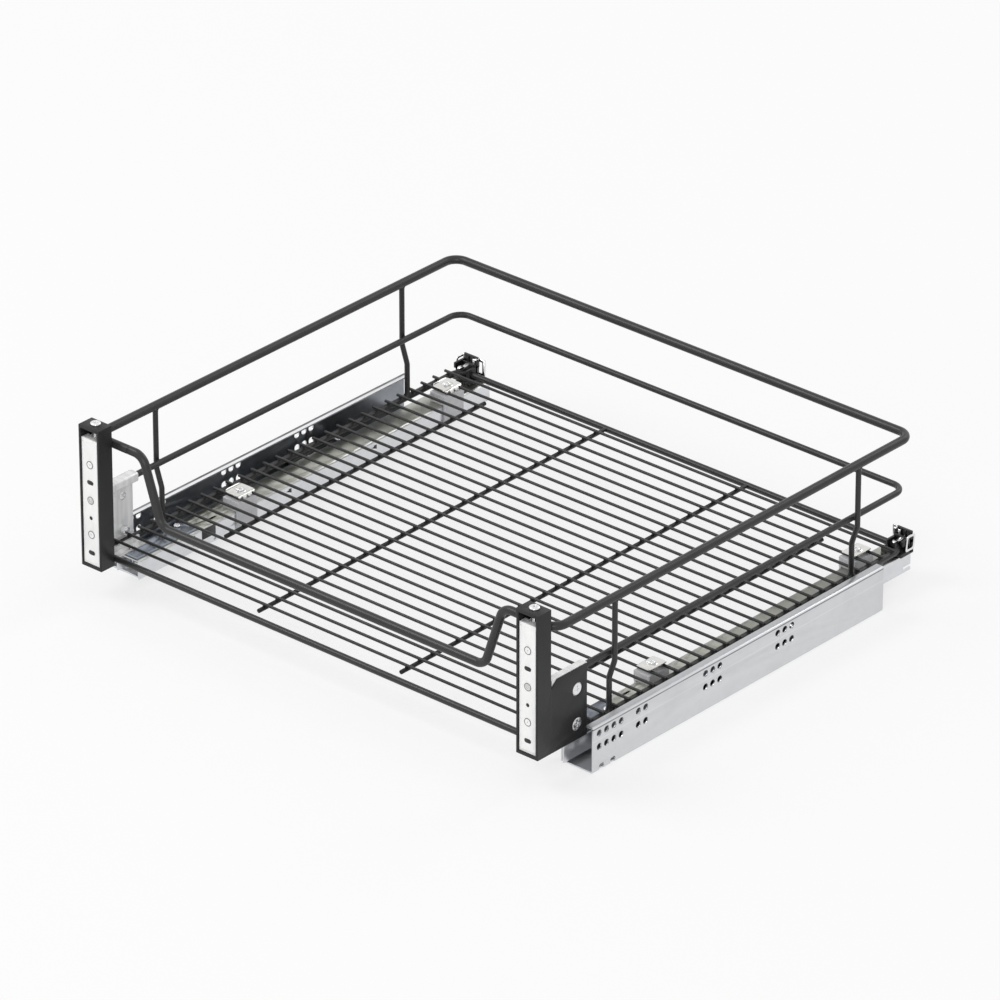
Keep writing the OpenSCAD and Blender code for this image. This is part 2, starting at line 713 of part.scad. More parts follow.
// Front post: a box open at the front, with the side plate behind it
post_cap = 3.1;
side_plate_t = 1;
side_plate_rear = post_d + side_plate_len;
side_plate_cut = 8;
clamp_hole_d = 12.4;
clamp_back = 33.8;
clamp_y = post_d + clamp_back;
clamp_rise = [14.7, 48.3];
module post() {
    color([0.09, 0.09, 0.095]) difference() {
        union() {
            block(post_in_x, 0, post_lift, post_out_x, post_d, post_top_z);
            translate([post_out_x - side_plate_t, 0, 0]) rotate([90, 0, 90])
                linear_extrude(side_plate_t) polygon([[post_d - post_wall / 2, post_lift],
                    [side_plate_rear, post_lift], [side_plate_rear, post_lift + side_plate_h],
                    [post_d + side_plate_cut, post_lift + side_plate_h],
                    [post_d - post_wall / 2, post_lift + side_plate_h - side_plate_cut]]);
        }
        block(post_in_x + post_wall, -cut, post_lift + post_cap,
            post_out_x - post_wall, post_d - post_wall, post_top_z - post_cap);
        bar_z(post_mid_x, screw_y, post_top_z - post_cap - cut, post_top_z + cut,
            screw_d + 2 * slip_gap);
        for (rise = clamp_rise)
            bar_x(post_out_x - side_plate_t - cut, post_out_x + cut, clamp_y, post_lift + rise,
                clamp_hole_d);
    }
}

// Sizes of the height screw
screw_d = 5;
screw_y = 9.3;
screw_head_d = 9.6;
screw_head_h = 2.2;
screw_collar_d = 8;
screw_collar_h = 1.4;
screw_tail = 2;
screw_recess_w = 1.4;

// Adjustable front plate in the post, which the drawer front is screwed to
plate_gap = 0.35;
plate_recess = 1;
plate_sheet = 2;
plate_flange = 8;
plate_head_room = 4.2;
plate_z0 = post_lift + post_cap + plate_gap;
plate_z1 = post_top_z - post_cap - screw_collar_h - plate_travel - plate_head_room;
plate_x0 = post_in_x + post_wall + plate_gap;
plate_x1 = post_out_x - post_wall - plate_gap;
round_hole_d = 5.4;
small_plate_hole_d = 2.8;
round_hole_rise = [32.8, 66.5, 101.3];
small_hole_rise = 49.2;
slot_rise = [14.9, 83.9];
slot_w = 3.2;
slot_len = 6.6;
nut_h = 8;
nut_w = 11;
module plate_slot(z) {
    run = (slot_len - slot_w) / 2;
    y1 = plate_recess + plate_sheet + cut;
    for (side = [-1, 1])
        bar_y(post_mid_x + side * run, -cut, y1, z, slot_w);
    block(post_mid_x - run, -cut, z - slot_w / 2, post_mid_x + run, y1, z + slot_w / 2);
}
module front_plate() {
    y0 = plate_recess;
    y_sheet = y0 + plate_sheet;
    nut_z0 = plate_z1 - nut_h;
    color([0.93, 0.93, 0.93]) difference() {
        union() {
            difference() {
                block(plate_x0, y0, plate_z0, plate_x1, y0 + plate_flange, plate_z1);
                block(plate_x0 + plate_sheet, y_sheet, plate_z0 - cut,
                    plate_x1 - plate_sheet, y0 + plate_flange + cut, plate_z1 + cut);
            }
            block(post_mid_x - nut_w / 2, y_sheet, nut_z0, post_mid_x + nut_w / 2,
                post_d - post_wall - plate_gap, plate_z1);
        }
        bar_z(post_mid_x, screw_y, nut_z0 - cut, plate_z1 + cut, screw_d + 2 * thread_gap);
        for (rise = round_hole_rise)
            bar_y(post_mid_x, -cut, y_sheet + cut, post_lift + rise, round_hole_d);
        bar_y(post_mid_x, -cut, y_sheet + cut, post_lift + small_hole_rise, small_plate_hole_d);
        for (rise = slot_rise)
            plate_slot(post_lift + rise);
    }
}

// Height screw: its head is on top of the post, its thread in the front plate's nut
module height_screw() {
    top = post_top_z + weld_gap;
    collar_z = post_top_z - post_cap - weld_gap - screw_collar_h;
    color([0.80, 0.81, 0.82]) difference() {
        union() {
            bar_z(post_mid_x, screw_y, plate_z1 - nut_h - screw_tail, top + screw_head_h / 2, screw_d);
            bar_z(post_mid_x, screw_y, top, top + screw_head_h, screw_head_d);
            bar_z(post_mid_x, screw_y, collar_z, collar_z + screw_collar_h, screw_collar_d);
        }
        for (a = [0, 90])
            translate([post_mid_x, screw_y, top + screw_head_h]) rotate([0, 0, a])
                cube([screw_head_d / 2, screw_recess_w, screw_head_h], center = true);
    }
}

// Bracket inside the side plate: a sleeve for the middle rail on top, a saddle for the
// bottom frame below, and a foot on the adapter
bracket_t = 1;
bracket_x1 = post_out_x - side_plate_t - weld_gap;
bracket_x0 = bracket_x1 - bracket_t;
bracket_overhang = 0.8;
bracket_rear = side_plate_rear + bracket_overhang;
bracket_screw_d = 6;
sleeve_w = 8.4;
sleeve_h = 9.2;
sleeve_r = 2.4;
sleeve_drop = 4.4;
saddle_rise = 2;
saddle_front_gap = 1.5;
saddle_front = frame_front_y + saddle_front_gap;
foot_z0 = adapter_z1 + weld_gap;
foot_z1 = foot_z0 + bracket_t;
foot_w = 16.3;
module sleeve_profile() {
    x0 = bracket_x1 - sleeve_w;
    z0 = mid_rail_z - sleeve_drop;
    z1 = z0 + sleeve_h;
    r = sleeve_r;
    strip(x0 + r, z0, bracket_x1, z1);
    strip(x0, z0 + r, bracket_x1, z1 - r);
    for (z = [z0 + r, z1 - r])
        translate([x0 + r, z]) circle(r = r);
}
module bracket() {
    color([0.82, 0.82, 0.82]) difference() {
        union() {
            block(bracket_x0, bracket_front, foot_z0, bracket_x1, bracket_rear, mid_rail_z);
            run_y(bracket_front, bracket_rear) sleeve_profile();
            block(bracket_x1 - sleeve_w, saddle_front, foot_z0, bracket_x1, bracket_rear,
                base_z + saddle_rise);
            block(bracket_x1 - foot_w, saddle_front, foot_z0, bracket_x1, bracket_rear, foot_z1);
        }
        bar_y(mid_rail_x, bracket_front - cut, bracket_rear + cut, mid_rail_z,
            mid_rail_d + 2 * thread_gap);
        bar_y(base_rail_x, saddle_front - cut, bracket_rear + cut, base_z,
            base_wire_d + 2 * thread_gap);
        for (rise = clamp_rise)
            bar_x(bracket_x0 - cut, bracket_x1 + cut, clamp_y, post_lift + rise,
                bracket_screw_d + 2 * thread_gap);
        bar_z(adapter_screw_x, adapter_screw_y[0], foot_z0 - cut, foot_z1 + cut,
            adapter_screw_d + 2 * thread_gap);
    }
}

// Adjusting screws of the brackets, their heads in the side plates' round windows
clamp_head_d = 11;
clamp_nut_d = 8;
clamp_nut_h = [4.6, 2.6];
clamp_socket_d = 3;
module bracket_screw(z, nut_h) {
    x1 = post_out_x - weld_gap;
    x0 = bracket_x0 - weld_gap - nut_h;
    difference() {
        union() {
            bar_x(bracket_x1 + weld_gap, x1, clamp_y, z, clamp_head_d);
            bar_x(x0, x1 - side_plate_t / 2, clamp_y, z, bracket_screw_d);
            bar_x(x0, x0 + nut_h, clamp_y, z, clamp_nut_d);
        }
        bar_x(x0 - cut, x0 + nut_h / 2, clamp_y, z, clamp_socket_d);
    }
}
module bracket_screws() {
    color([0.86, 0.86, 0.86]) both_sides()
        for (i = [0, 1])
            bracket_screw(post_lift + clamp_rise[i], clamp_nut_h[i]);
}

place() left_side() cabinet_rail();  // cabinet_rail_left
place() right_side() cabinet_rail();  // cabinet_rail_right
place() left_side() closer_housing();  // closer_housing_left
place() right_side() closer_housing();  // closer_housing_right
place() left_side() damper_cylinder();  // damper_cylinder_left
place() right_side() damper_cylinder();  // damper_cylinder_right
place() left_side() closer_spring();  // closer_spring_left
place() right_side() closer_spring();  // closer_spring_right
place() left_side() closer_catch();  // closer_catch_left
place() right_side() closer_catch();  // closer_catch_right
place() left_side() damper_rod();  // damper_rod_left
place() right_side() damper_rod();  // damper_rod_right
place() left_side() middle_rail();  // middle_rail_left
place() right_side() middle_rail();  // middle_rail_right
place() left_side() lower_cage();  // lower_cage_left
place() right_side() lower_cage();  // lower_cage_right
place() left_side() lower_rollers();  // lower_rollers_left
place() right_side() lower_rollers();  // lower_rollers_right
place() left_side() upper_cage();  // upper_cage_left
place() right_side() upper_cage();  // upper_cage_right
place() left_side() upper_rollers();  // upper_rollers_left
place() right_side() upper_rollers();  // upper_rollers_right
place() left_side() drawer_rail();  // drawer_rail_left
place() right_side() drawer_rail();  // drawer_rail_right
place() catch_pins();
place() left_side() front_adapter();  // front_adapter_left
place() right_side() front_adapter();  // front_adapter_right
place() adapter_screws();
place() left_side() rear_holder();  // rear_holder_left
place() right_side() rear_holder();  // rear_holder_right
place() left_side() rear_hook();  // rear_hook_left
place() right_side() rear_hook();  // rear_hook_right
place() left_side() clip_body(clip_y(front_clip_wire_count));  // clip_front_left
place() right_side() clip_body(clip_y(front_clip_wire_count));  // clip_front_right
place() left_side() clip_body(clip_y(rear_clip_wire_count));  // clip_rear_left
place() right_side() clip_body(clip_y(rear_clip_wire_count));  // clip_rear_right
place() clip_plates();
place() clip_screws();
place() top_rail();
place() mid_rail();
place() bottom_frame();
place() front_bar();
place() left_side() stanchion(stanchion_front_y);  // stanchion_front_left
place() right_side() stanchion(stanchion_front_y);  // stanchion_front_right
place() left_side() stanchion(stanchion_rear_y);  // stanchion_rear_left
place() right_side() stanchion(stanchion_rear_y);  // stanchion_rear_right
place() cross_wires();
place() long_wires();
place() short_wires();
place() left_side() post();  // post_left
place() right_side() post();  // post_right
place() left_side() front_plate();  // front_plate_left
place() right_side() front_plate();  // front_plate_right
place() left_side() height_screw();  // height_screw_left
place() right_side() height_screw();  // height_screw_right
place() left_side() bracket();  // bracket_left
place() right_side() bracket();  // bracket_right
place() bracket_screws();
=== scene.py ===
# %% [markdown]
# This lesson dresses a wire pull-out drawer for a kitchen base cabinet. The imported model
# gives every solid its place and its joint. Here each piece gets the surface of the real
# one: rolled sheet with rounded edges, coated wire with its welds, cut threads and
# moulded plastic. All of it stays inside the solids' own box.
#
# The frame comes first. It holds the solids, the bodies that move and the record, which
# says what each node is made of.

# %% Load the frame
import json
import math
from types import SimpleNamespace

import bmesh
import bpy
import numpy as np
from mathutils import Matrix, Vector


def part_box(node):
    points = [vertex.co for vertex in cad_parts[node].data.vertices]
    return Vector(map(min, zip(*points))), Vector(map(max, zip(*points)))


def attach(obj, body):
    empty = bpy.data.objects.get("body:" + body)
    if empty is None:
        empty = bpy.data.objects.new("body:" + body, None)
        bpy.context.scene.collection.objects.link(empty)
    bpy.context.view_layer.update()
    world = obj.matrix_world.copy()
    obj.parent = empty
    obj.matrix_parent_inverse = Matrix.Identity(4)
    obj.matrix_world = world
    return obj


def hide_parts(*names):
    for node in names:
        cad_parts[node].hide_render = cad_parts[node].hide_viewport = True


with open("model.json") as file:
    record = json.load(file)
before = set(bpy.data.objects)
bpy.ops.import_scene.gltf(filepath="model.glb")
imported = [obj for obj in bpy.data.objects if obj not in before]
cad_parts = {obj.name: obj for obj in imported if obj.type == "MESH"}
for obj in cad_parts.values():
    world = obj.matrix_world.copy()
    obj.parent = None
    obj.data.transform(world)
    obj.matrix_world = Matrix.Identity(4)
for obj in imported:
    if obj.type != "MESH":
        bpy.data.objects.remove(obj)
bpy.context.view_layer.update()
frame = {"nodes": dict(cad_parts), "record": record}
record = frame["record"]
BODY_OF = {node: body for body, nodes in record["behaviour"]["bodies"].items() for node in nodes}
SLOT_OF = {part["node"]: part["material_slot"] for part in record["subparts"]}
SIDES = {"left": -1.0, "right": 1.0}


def in_scene(data):
    """A new object in the scene, with the name of its data."""
    obj = bpy.data.objects.new(data.name, data)
    bpy.context.scene.collection.objects.link(obj)
    return obj


# %% [markdown]
# Sizes are easier to read in the drawing's own frame: X to the right, Y backwards from
# the front face of the posts, Z up, all in millimetres. One function turns such points
# into metres in the CAD frame.

# %% Millimetres to metres
MM = 0.001
HALF_DEPTH = np.array([0.0, 252.0, 0.0])


def metres(points):
    """CAD point = (drawing point - (0, half depth, 0)) / 1000."""
    return (np.asarray(points, float) - HALF_DEPTH) * MM


def node_box(node):
    """The lowest and highest corner of a CAD node, in the drawing's millimetres."""
    low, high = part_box(node)
    return np.array(low) / MM + HALF_DEPTH, np.array(high) / MM + HALF_DEPTH


# %% [markdown]
# The photograph is taken from far away with a long lens, from the right, in front and
# above. Three axes and a place give the camera: its X axis points right in the picture,
# Y up, and Z back towards the camera.

# %% Camera
CAMERA_PLACE = Vector((4.4806, -5.0674, 3.6385))
CAMERA_AXES = ((0.74918, 0.66236, 0.0), (-0.30806, 0.34844, 0.88526), (0.58636, -0.66322, 0.46510))
LENS, SENSOR, FARTHEST = 314.95, 36.0, 100.0

camera_data = bpy.data.cameras.new("photo_camera")
camera_data.lens, camera_data.sensor_width, camera_data.clip_end = LENS, SENSOR, FARTHEST
camera = in_scene(camera_data)
camera.matrix_world = Matrix.Translation(CAMERA_PLACE) @ Matrix(CAMERA_AXES).transposed().to_4x4()
bpy.context.scene.camera = camera
print("camera distance, m:", round(CAMERA_PLACE.length, 2))

# %% [markdown]
# Nodes are added and joined many times, so a few helpers keep that short: one for any
# node, and one each for those that come up most, a sum, a ramp and a noise.

# %% Node helpers
def add_node(tree, kind, inputs=None, **settings):
    """A new node: settings go to its properties, inputs to its sockets by name or number."""
    node = tree.nodes.new(kind)
    for key, value in settings.items():
        setattr(node, key, value)
    for key, value in (inputs or {}).items():
        if isinstance(value, bpy.types.NodeSocket):
            tree.links.new(value, node.inputs[key])
        else:
            node.inputs[key].default_value = value
    return node


def calculate(tree, operation, *values):
    """The result of a maths node, such as MULTIPLY, on values in their order."""
    return add_node(tree, "ShaderNodeMath", dict(enumerate(values)), operation=operation).outputs[0]


def ramp(tree, value, start=0.0, end=1.0, low=0.0, high=1.0):
    """start where the value is low, end where it is high, straight between, level beyond."""
    limits = {"Value": value, "From Min": low, "From Max": high, "To Min": start, "To Max": end}
    return add_node(tree, "ShaderNodeMapRange", limits).outputs[0]


def noise(tree, place, scale, detail):
    """Noise at a place in metres: the scale is about the number of features in a metre."""
    inputs = {"Vector": place, "Scale": scale, "Detail": detail}
    return add_node(tree, "ShaderNodeTexNoise", inputs).outputs[0]


def link_all(tree, sockets, sources):
    """Joins each source to the socket of its name."""
    for name, source in sources.items():
        tree.links.new(source, sockets[name])


def linear(colour, share=1.0):
    """A screen colour from 0 to 255 as the linear colour that a shader takes, times a share."""
    screen = np.array(colour) / 255.0
    values = np.where(screen <= 0.04045, screen / 12.92, ((screen + 0.055) / 1.055) ** 2.4)
    return (*(share * values), 1.0)


print("mid grey is", round(linear((128, 128, 128))[0], 3))

# %% [markdown]
# The stage is a plain white floor. Rays from the camera, and those reflected by metal,
# mostly see plain white. The share of the lit floor that is left keeps the soft shadow
# under the drawer.

# %% Floor
FLOOR_HALF = 20.0
FLOOR_DROP = 0.0004
FLOOR_TONE = (0.97, 0.97, 0.97, 1.0)
WHITE = (1.0, 1.0, 1.0, 1.0)
SHADOW_SHARE = 0.30


def plain_ray(tree):
    """1 for rays from the camera, off a shiny face or through clear plastic, 0 for others."""
    ray = add_node(tree, "ShaderNodeLightPath").outputs
    seen = calculate(tree, "MAXIMUM", ray["Is Camera Ray"], ray["Is Glossy Ray"])
    return calculate(tree, "MAXIMUM", seen, ray["Is Transmission Ray"])


floor_mesh = bpy.data.meshes.new("floor")
corners = np.array([[-1, -1], [1, -1], [1, 1], [-1, 1]]) * FLOOR_HALF
floor_mesh.from_pydata(np.column_stack([corners, np.full(4, -FLOOR_DROP)]).tolist(), [], [(0, 1, 2, 3)])
in_scene(floor_mesh)

floor_finish = bpy.data.materials.new("white_floor")
floor_finish.use_nodes = True
tree = floor_finish.node_tree
tree.nodes.clear()
share = calculate(tree, "MULTIPLY", plain_ray(tree), 1.0 - SHADOW_SHARE)
lit = add_node(tree, "ShaderNodeBsdfDiffuse", {"Color": FLOOR_TONE})
plain = add_node(tree, "ShaderNodeEmission", {"Color": WHITE, "Strength": 1.0})
mixed = add_node(tree, "ShaderNodeMixShader", {0: share, 1: lit.outputs[0], 2: plain.outputs[0]})
add_node(tree, "ShaderNodeOutputMaterial", {"Surface": mixed.outputs[0]})
floor_mesh.materials.append(floor_finish)
print("floor is", 2 * FLOOR_HALF, "m wide")

# %% [markdown]
# The light is that of a plain white studio: an even sky and three large soft lamps. The
# strongest stands at the upper left and draws the bright line along each wire. A weaker
# one fills in from the front right, and the weakest lights the far sides from the rear.

# %% Light
SKY_STRENGTH = 0.60
LAMPS = (
    ("key", (-2.6, -1.8, 3.6), 2.4, 62.0),
    ("fill", (2.4, -3.6, 1.8), 2.2, 40.0),
    ("back", (0.6, 3.6, 2.6), 2.2, 26.0),
)

world = bpy.data.worlds.new("studio")
bpy.context.scene.world = world
world.use_nodes = True
sky = world.node_tree
backdrop = sky.nodes["Background"].inputs
backdrop["Color"].default_value = WHITE
sky.links.new(ramp(sky, plain_ray(sky), SKY_STRENGTH, 1.0), backdrop["Strength"])
for name, spot, size, power in LAMPS:
    data = bpy.data.lights.new(name, "AREA")
    data.shape, data.size, data.energy = "DISK", size, power
    lamp = in_scene(data)
    lamp.location = spot
    lamp.rotation_euler = Vector(spot).to_track_quat("Z", "Y").to_euler()
bpy.context.scene.view_settings.view_transform = "Standard"
print("lamps", [name for name, *_ in LAMPS])

# %% [markdown]
# Several finishes share an effect, such as the grain of a coating. Each effect is a node
# group with named inputs and outputs, built once. Its noise is read from the object's own
# coordinates in metres, so a scale of 1000 means a feature of about a millimetre.

# %% Shared effects
def new_group(name, inputs, outputs):
    """An empty node group with float sockets, plus a vector one for the place. Gives the
    group, the sockets that it reads and the sockets that it fills."""
    group = bpy.data.node_groups.new(name, "ShaderNodeTree")
    group.interface.new_socket(name="Place", in_out="INPUT", socket_type="NodeSocketVector")
    for key, value in inputs.items():
        socket = group.interface.new_socket(name=key, in_out="INPUT", socket_type="NodeSocketFloat")
        socket.default_value = value
    for key in outputs:
        group.interface.new_socket(name=key, in_out="OUTPUT", socket_type="NodeSocketFloat")
    return group, group.nodes.new("NodeGroupInput").outputs, group.nodes.new("NodeGroupOutput").inputs


def coating_grain():
    """Height = noise(place * scale), and flecks where a four times finer noise is high."""
    group, given, out = new_group("coating_grain", {"Scale": 900.0, "Fleck": 0.5}, ("Height", "Fleck"))
    wide = noise(group, given["Place"], given["Scale"], 2.0)
    fine = noise(group, given["Place"], calculate(group, "MULTIPLY", given["Scale"], 4.0), 1.0)
    flecks = calculate(group, "MULTIPLY", ramp(group, fine, low=0.56, high=0.72), given["Fleck"])
    link_all(group, out, {"Height": wide, "Fleck": flecks})
    return group


def long_streaks():
    """Noise drawn out along one axis: noise(x * across, y * along, z * cross rise)."""
    scales = {"Across": 700.0, "Along": 8.0, "Cross rise": 700.0}
    group, given, out = new_group("long_streaks", scales, ("Value",))
    scale = add_node(group, "ShaderNodeCombineXYZ", {axis: given[key] for axis, key in enumerate(scales)})
    place = add_node(group, "ShaderNodeVectorMath", {0: given["Place"], 1: scale.outputs[0]},
                     operation="MULTIPLY")
    link_all(group, out, {"Value": noise(group, place.outputs[0], 1.0, 3.0)})
    return group


def zinc_spangle():
    """One random tone for each cell of a Voronoi pattern, and a fine noise beside it."""
    group, given, out = new_group("zinc_spangle", {"Cells": 170.0}, ("Tone", "Mottle"))
    cells = add_node(group, "ShaderNodeTexVoronoi", {"Vector": given["Place"], "Scale": given["Cells"]},
                     feature="SMOOTH_F1")
    tone = add_node(group, "ShaderNodeSeparateColor", {0: cells.outputs["Color"]}).outputs[0]
    link_all(group, out, {"Tone": tone, "Mottle": noise(group, given["Place"], 420.0, 4.0)})
    return group


def handling_marks():
    """A mask of faint patches: amount * how far a broad noise is past a threshold."""
    group, given, out = new_group("handling_marks", {"Scale": 45.0, "Amount": 0.5}, ("Mask",))
    patch = ramp(group, noise(group, given["Place"], given["Scale"], 5.0), low=0.5, high=0.7)
    link_all(group, out, {"Mask": calculate(group, "MULTIPLY", patch, given["Amount"])})
    return group


GRAIN, STREAKS, SPANGLE, MARKS = coating_grain(), long_streaks(), zinc_spangle(), handling_marks()
print("groups", [group.name for group in bpy.data.node_groups])

# %% [markdown]
# A finish joins these effects to one Principled shader. Tones are laid over each other by
# masks, the roughness wanders a little, and a bump gives the grain.

# %% Finish helpers
def with_spaces(values):
    """The same values under socket names, which have spaces where an argument has _."""
    return {key.replace("_", " "): value for key, value in values.items()}


def use_group(tree, group, place, **inputs):
    """Places a shared effect in a material with its own values. Gives its results."""
    return add_node(tree, "ShaderNodeGroup", {"Place": place, **with_spaces(inputs)}, node_tree=group).outputs


def new_finish(name, **constants):
    """A material with a Principled shader. Gives the tree, the shader's sockets and the place."""
    material = bpy.data.materials.new(name)
    material.use_nodes = True
    tree = material.node_tree
    tree.nodes.clear()
    shader = add_node(tree, "ShaderNodeBsdfPrincipled", with_spaces(constants))
    add_node(tree, "ShaderNodeOutputMaterial", {"Surface": shader.outputs[0]})
    return material, tree, shader.inputs, add_node(tree, "ShaderNodeTexCoord").outputs["Object"]


def link_shader(tree, sockets, tone, layers, roughness, height, strength, depth):
    """Joins colour, roughness and a bump to the shader. Each layer is a mask and the tone
    that it brings in: colour + mask * (tone - colour). The bump's depth is in metres."""
    colour = linear(tone)
    for mask, *shade in layers:
        mix = add_node(tree, "ShaderNodeMix", {0: mask, 6: colour, 7: linear(*shade)}, data_type="RGBA")
        colour = mix.outputs[2]
    bump = add_node(tree, "ShaderNodeBump", {"Height": height, "Strength": strength, "Distance": depth})
    link_all(tree, sockets, {"Base Color": colour, "Roughness": roughness, "Normal": bump.outputs[0]})


# %% [markdown]
# The basket's wire is powder coated in a dark anthracite grey. Powder flows into a faint
# orange peel, about a millimetre wide, with small bright flecks of metal in it. The
# lengthwise floor wires and the posts carry a darker coat of the same kind.

# %% Coated wire and painted sheet
PEEL_DEPTH = 0.00012


def coated(name, tone, light_tone, roughness, metallic, peel, fleck=0.5, specular=0.35):
    """Powder coat: two tones mixed by flecks, over an orange-peel bump."""
    material, tree, sockets, place = new_finish(name, Metallic=metallic, Specular_IOR_Level=specular)
    grain = use_group(tree, GRAIN, place, Scale=1100.0, Fleck=fleck)
    marks = use_group(tree, MARKS, place, Scale=30.0, Amount=0.6)["Mask"]
    layers = (grain["Fleck"], light_tone), (marks, tone, 0.86)
    rough = ramp(tree, marks, roughness, roughness + 0.1)
    link_shader(tree, sockets, tone, layers, rough, grain["Height"], peel, PEEL_DEPTH)
    return material


ANTHRACITE = coated("anthracite_coat", (51, 51, 51), (80, 80, 80), 0.32, 0.25, 0.30)
DARK_COAT = coated("dark_wire_coat", (26, 26, 27), (42, 42, 43), 0.42, 0.12, 0.28)
BLACK_PAINT = coated("black_paint", (33, 33, 34), (44, 44, 45), 0.42, 0.10, 0.22, 0.35)
WHITE_PAINT = coated("white_enamel", (246, 246, 245), (250, 250, 249), 0.40, 0.0, 0.12, 0.3, 0.45)
print("coats", ANTHRACITE.name, DARK_COAT.name, BLACK_PAINT.name, WHITE_PAINT.name)

# %% [markdown]
# The slides' strip mirrors what stands round it in a studio. The dark and bright bands that
# this leaves on the folds and faces are painted on, as masks of the place.

# %% Masks for painted shade and reflection
CORE_SHARE = 0.6


def split(tree, vector):
    """The x, y and z of a vector."""
    return add_node(tree, "ShaderNodeSeparateXYZ", {0: vector}).outputs


def soft_line(tree, value, centre, half_width, core=0.0):
    """1 - |value - centre| / half width, not below 0. A core share of the width stays 1."""
    away = calculate(tree, "ABSOLUTE", calculate(tree, "SUBTRACT", value, centre))
    return ramp(tree, away, 1.0, 0.0, core * half_width, half_width)


def painted_shading_line(tree, place, height, half_width):
    """A line at one height, along which a painted shade or a painted reflection is laid."""
    return soft_line(tree, split(tree, place)[2], height, half_width)


def left_lip(tree, place, distance, half_width, rise):
    """A line along the left lip, this far from the middle and only above one height, for the painted
    reflection on that lip.
    """
    sides = split(tree, place)
    line = soft_line(tree, sides[0], -distance, half_width, CORE_SHARE)
    return calculate(tree, "MULTIPLY", line, calculate(tree, "GREATER_THAN", sides[2], rise))


def inner_face(tree, place, distance):
    """1 on faces beyond a distance from the middle that look back to it: -sign(x) * normal x. These faces get
    a painted darker reflection.
    """
    across = split(tree, place)[0]
    normal = split(tree, add_node(tree, "ShaderNodeTexCoord").outputs["Normal"])[0]
    outward = calculate(tree, "MULTIPLY", calculate(tree, "SIGN", across), normal)
    beyond = calculate(tree, "GREATER_THAN", calculate(tree, "ABSOLUTE", across), distance)
    return calculate(tree, "MULTIPLY", ramp(tree, outward, low=-0.5, high=-0.9), beyond)


# These masks carry painted shade and painted reflections, not marks in the metal.
print("masks for creases, the left lip and inner faces")

# %% [markdown]
# The slides are rolled from zinc-coated strip. Zinc freezes in spangles a few millimetres
# wide, and the rolls leave streaks along the length. One function makes all strip and steel
# from two tones, the roughness and its spread, the spangles in a metre and the streaks'
# bump. A band of painted shade or painted reflection is a mask, the mask's sizes in metres,
# and a colour.

# %% Zinc-coated strip and bright steel
STREAK_DEPTH = 0.00006


def strip_metal(name, tone, dull_tone, roughness, spread, cells, streak, along=8.0, painted=()):
    """Metal: tone from spangles and streaks, painted shade and reflections from the masks, roughness from the
    streaks, fine rolling bump.
    """
    material, tree, sockets, place = new_finish(name, Metallic=1.0)
    spangle = use_group(tree, SPANGLE, place, Cells=cells)
    streaks = use_group(tree, STREAKS, place, Across=900.0, Along=along, Cross_rise=900.0)["Value"]
    marks = use_group(tree, MARKS, place, Scale=38.0, Amount=0.3)["Mask"]
    layers = [(calculate(tree, "MULTIPLY", spangle["Tone"], streaks), dull_tone)]
    layers += [(mask(tree, place, *sizes), shade) for mask, sizes, shade in painted]
    layers.append((marks, dull_tone, 0.88))
    rough = calculate(tree, "MULTIPLY", streaks, spangle["Mottle"])
    rough = ramp(tree, rough, roughness - spread, roughness + 2 * spread)
    link_shader(tree, sockets, tone, layers, rough, streaks, streak, STREAK_DEPTH)
    return material


# Painted shade and reflection: the drawer member's top face alone is darkened and tinted olive, as it looks
# under the basket.
RUNNER_PAINTED_SHADING = ((painted_shading_line, (0.0270, 0.0019), (176, 176, 160)),)
# Painted shade and reflections on the cabinet member's flange:
FLANGE_PAINTED_SHADING = (
    # painted shade, a dark line under the folded lip, where the fold throws its shadow
    (painted_shading_line, (0.0421, 0.0008), (70, 72, 75)),
    # painted reflection, a faint bright line across the face
    (painted_shading_line, (0.0305, 0.0007), (226, 227, 229)),
    # painted shade over the lip's top, which dulls its bright reflection
    (painted_shading_line, (0.0448, 0.0015), (168, 170, 173)),
    # painted reflection on the left lip, dark on its outer half and bright on its inner half
    (left_lip, (0.2801, 0.0028, 0.0405), (92, 93, 95)),
    (left_lip, (0.2758, 0.0021, 0.0440), (238, 239, 240)),
    # painted shade, the inner faces darkened for the dark channel that they mirror
    (inner_face, (0.2795,), (150, 154, 160)),
)
ZINC_STRIP = strip_metal("zinc_strip", (214, 216, 219), (205, 207, 211), 0.34, 0.03, 170.0, 0.06)
RUNNER_STRIP = strip_metal("runner_strip", (222, 223, 226), (210, 212, 215), 0.31, 0.02, 170.0, 0.03,
                           painted=RUNNER_PAINTED_SHADING)
FLANGE_STRIP = strip_metal("flange_strip", (215, 216, 218), (210, 211, 214), 0.38, 0.02, 170.0, 0.04,
                           painted=FLANGE_PAINTED_SHADING)
PLATED_STRIP = strip_metal("plated_strip", (224, 223, 220), (200, 199, 196), 0.16, 0.04, 420.0, 0.06)
BRIGHT_STEEL = strip_metal("polished_steel", (232, 232, 233), (216, 217, 219), 0.20, 0.04, 500.0, 0.06)
DARK_STEEL = strip_metal("dark_steel", (150, 156, 166), (138, 144, 154), 0.30, 0.03, 120.0, 0.06)
SPRING_STEEL = strip_metal("spring_steel", (150, 151, 153), (120, 121, 124), 0.28, 0.04, 600.0, 0.05,
                           along=400.0)
print("metals", ZINC_STRIP.name, BRIGHT_STEEL.name, DARK_STEEL.name)

# %% [markdown]
# The brackets are cast and drawn zinc alloy, with soft upright streaks, lighter and darker
# by turns, as the blank was drawn up and down.

# %% Zinc alloy
CASTING_DEPTH = 0.00008


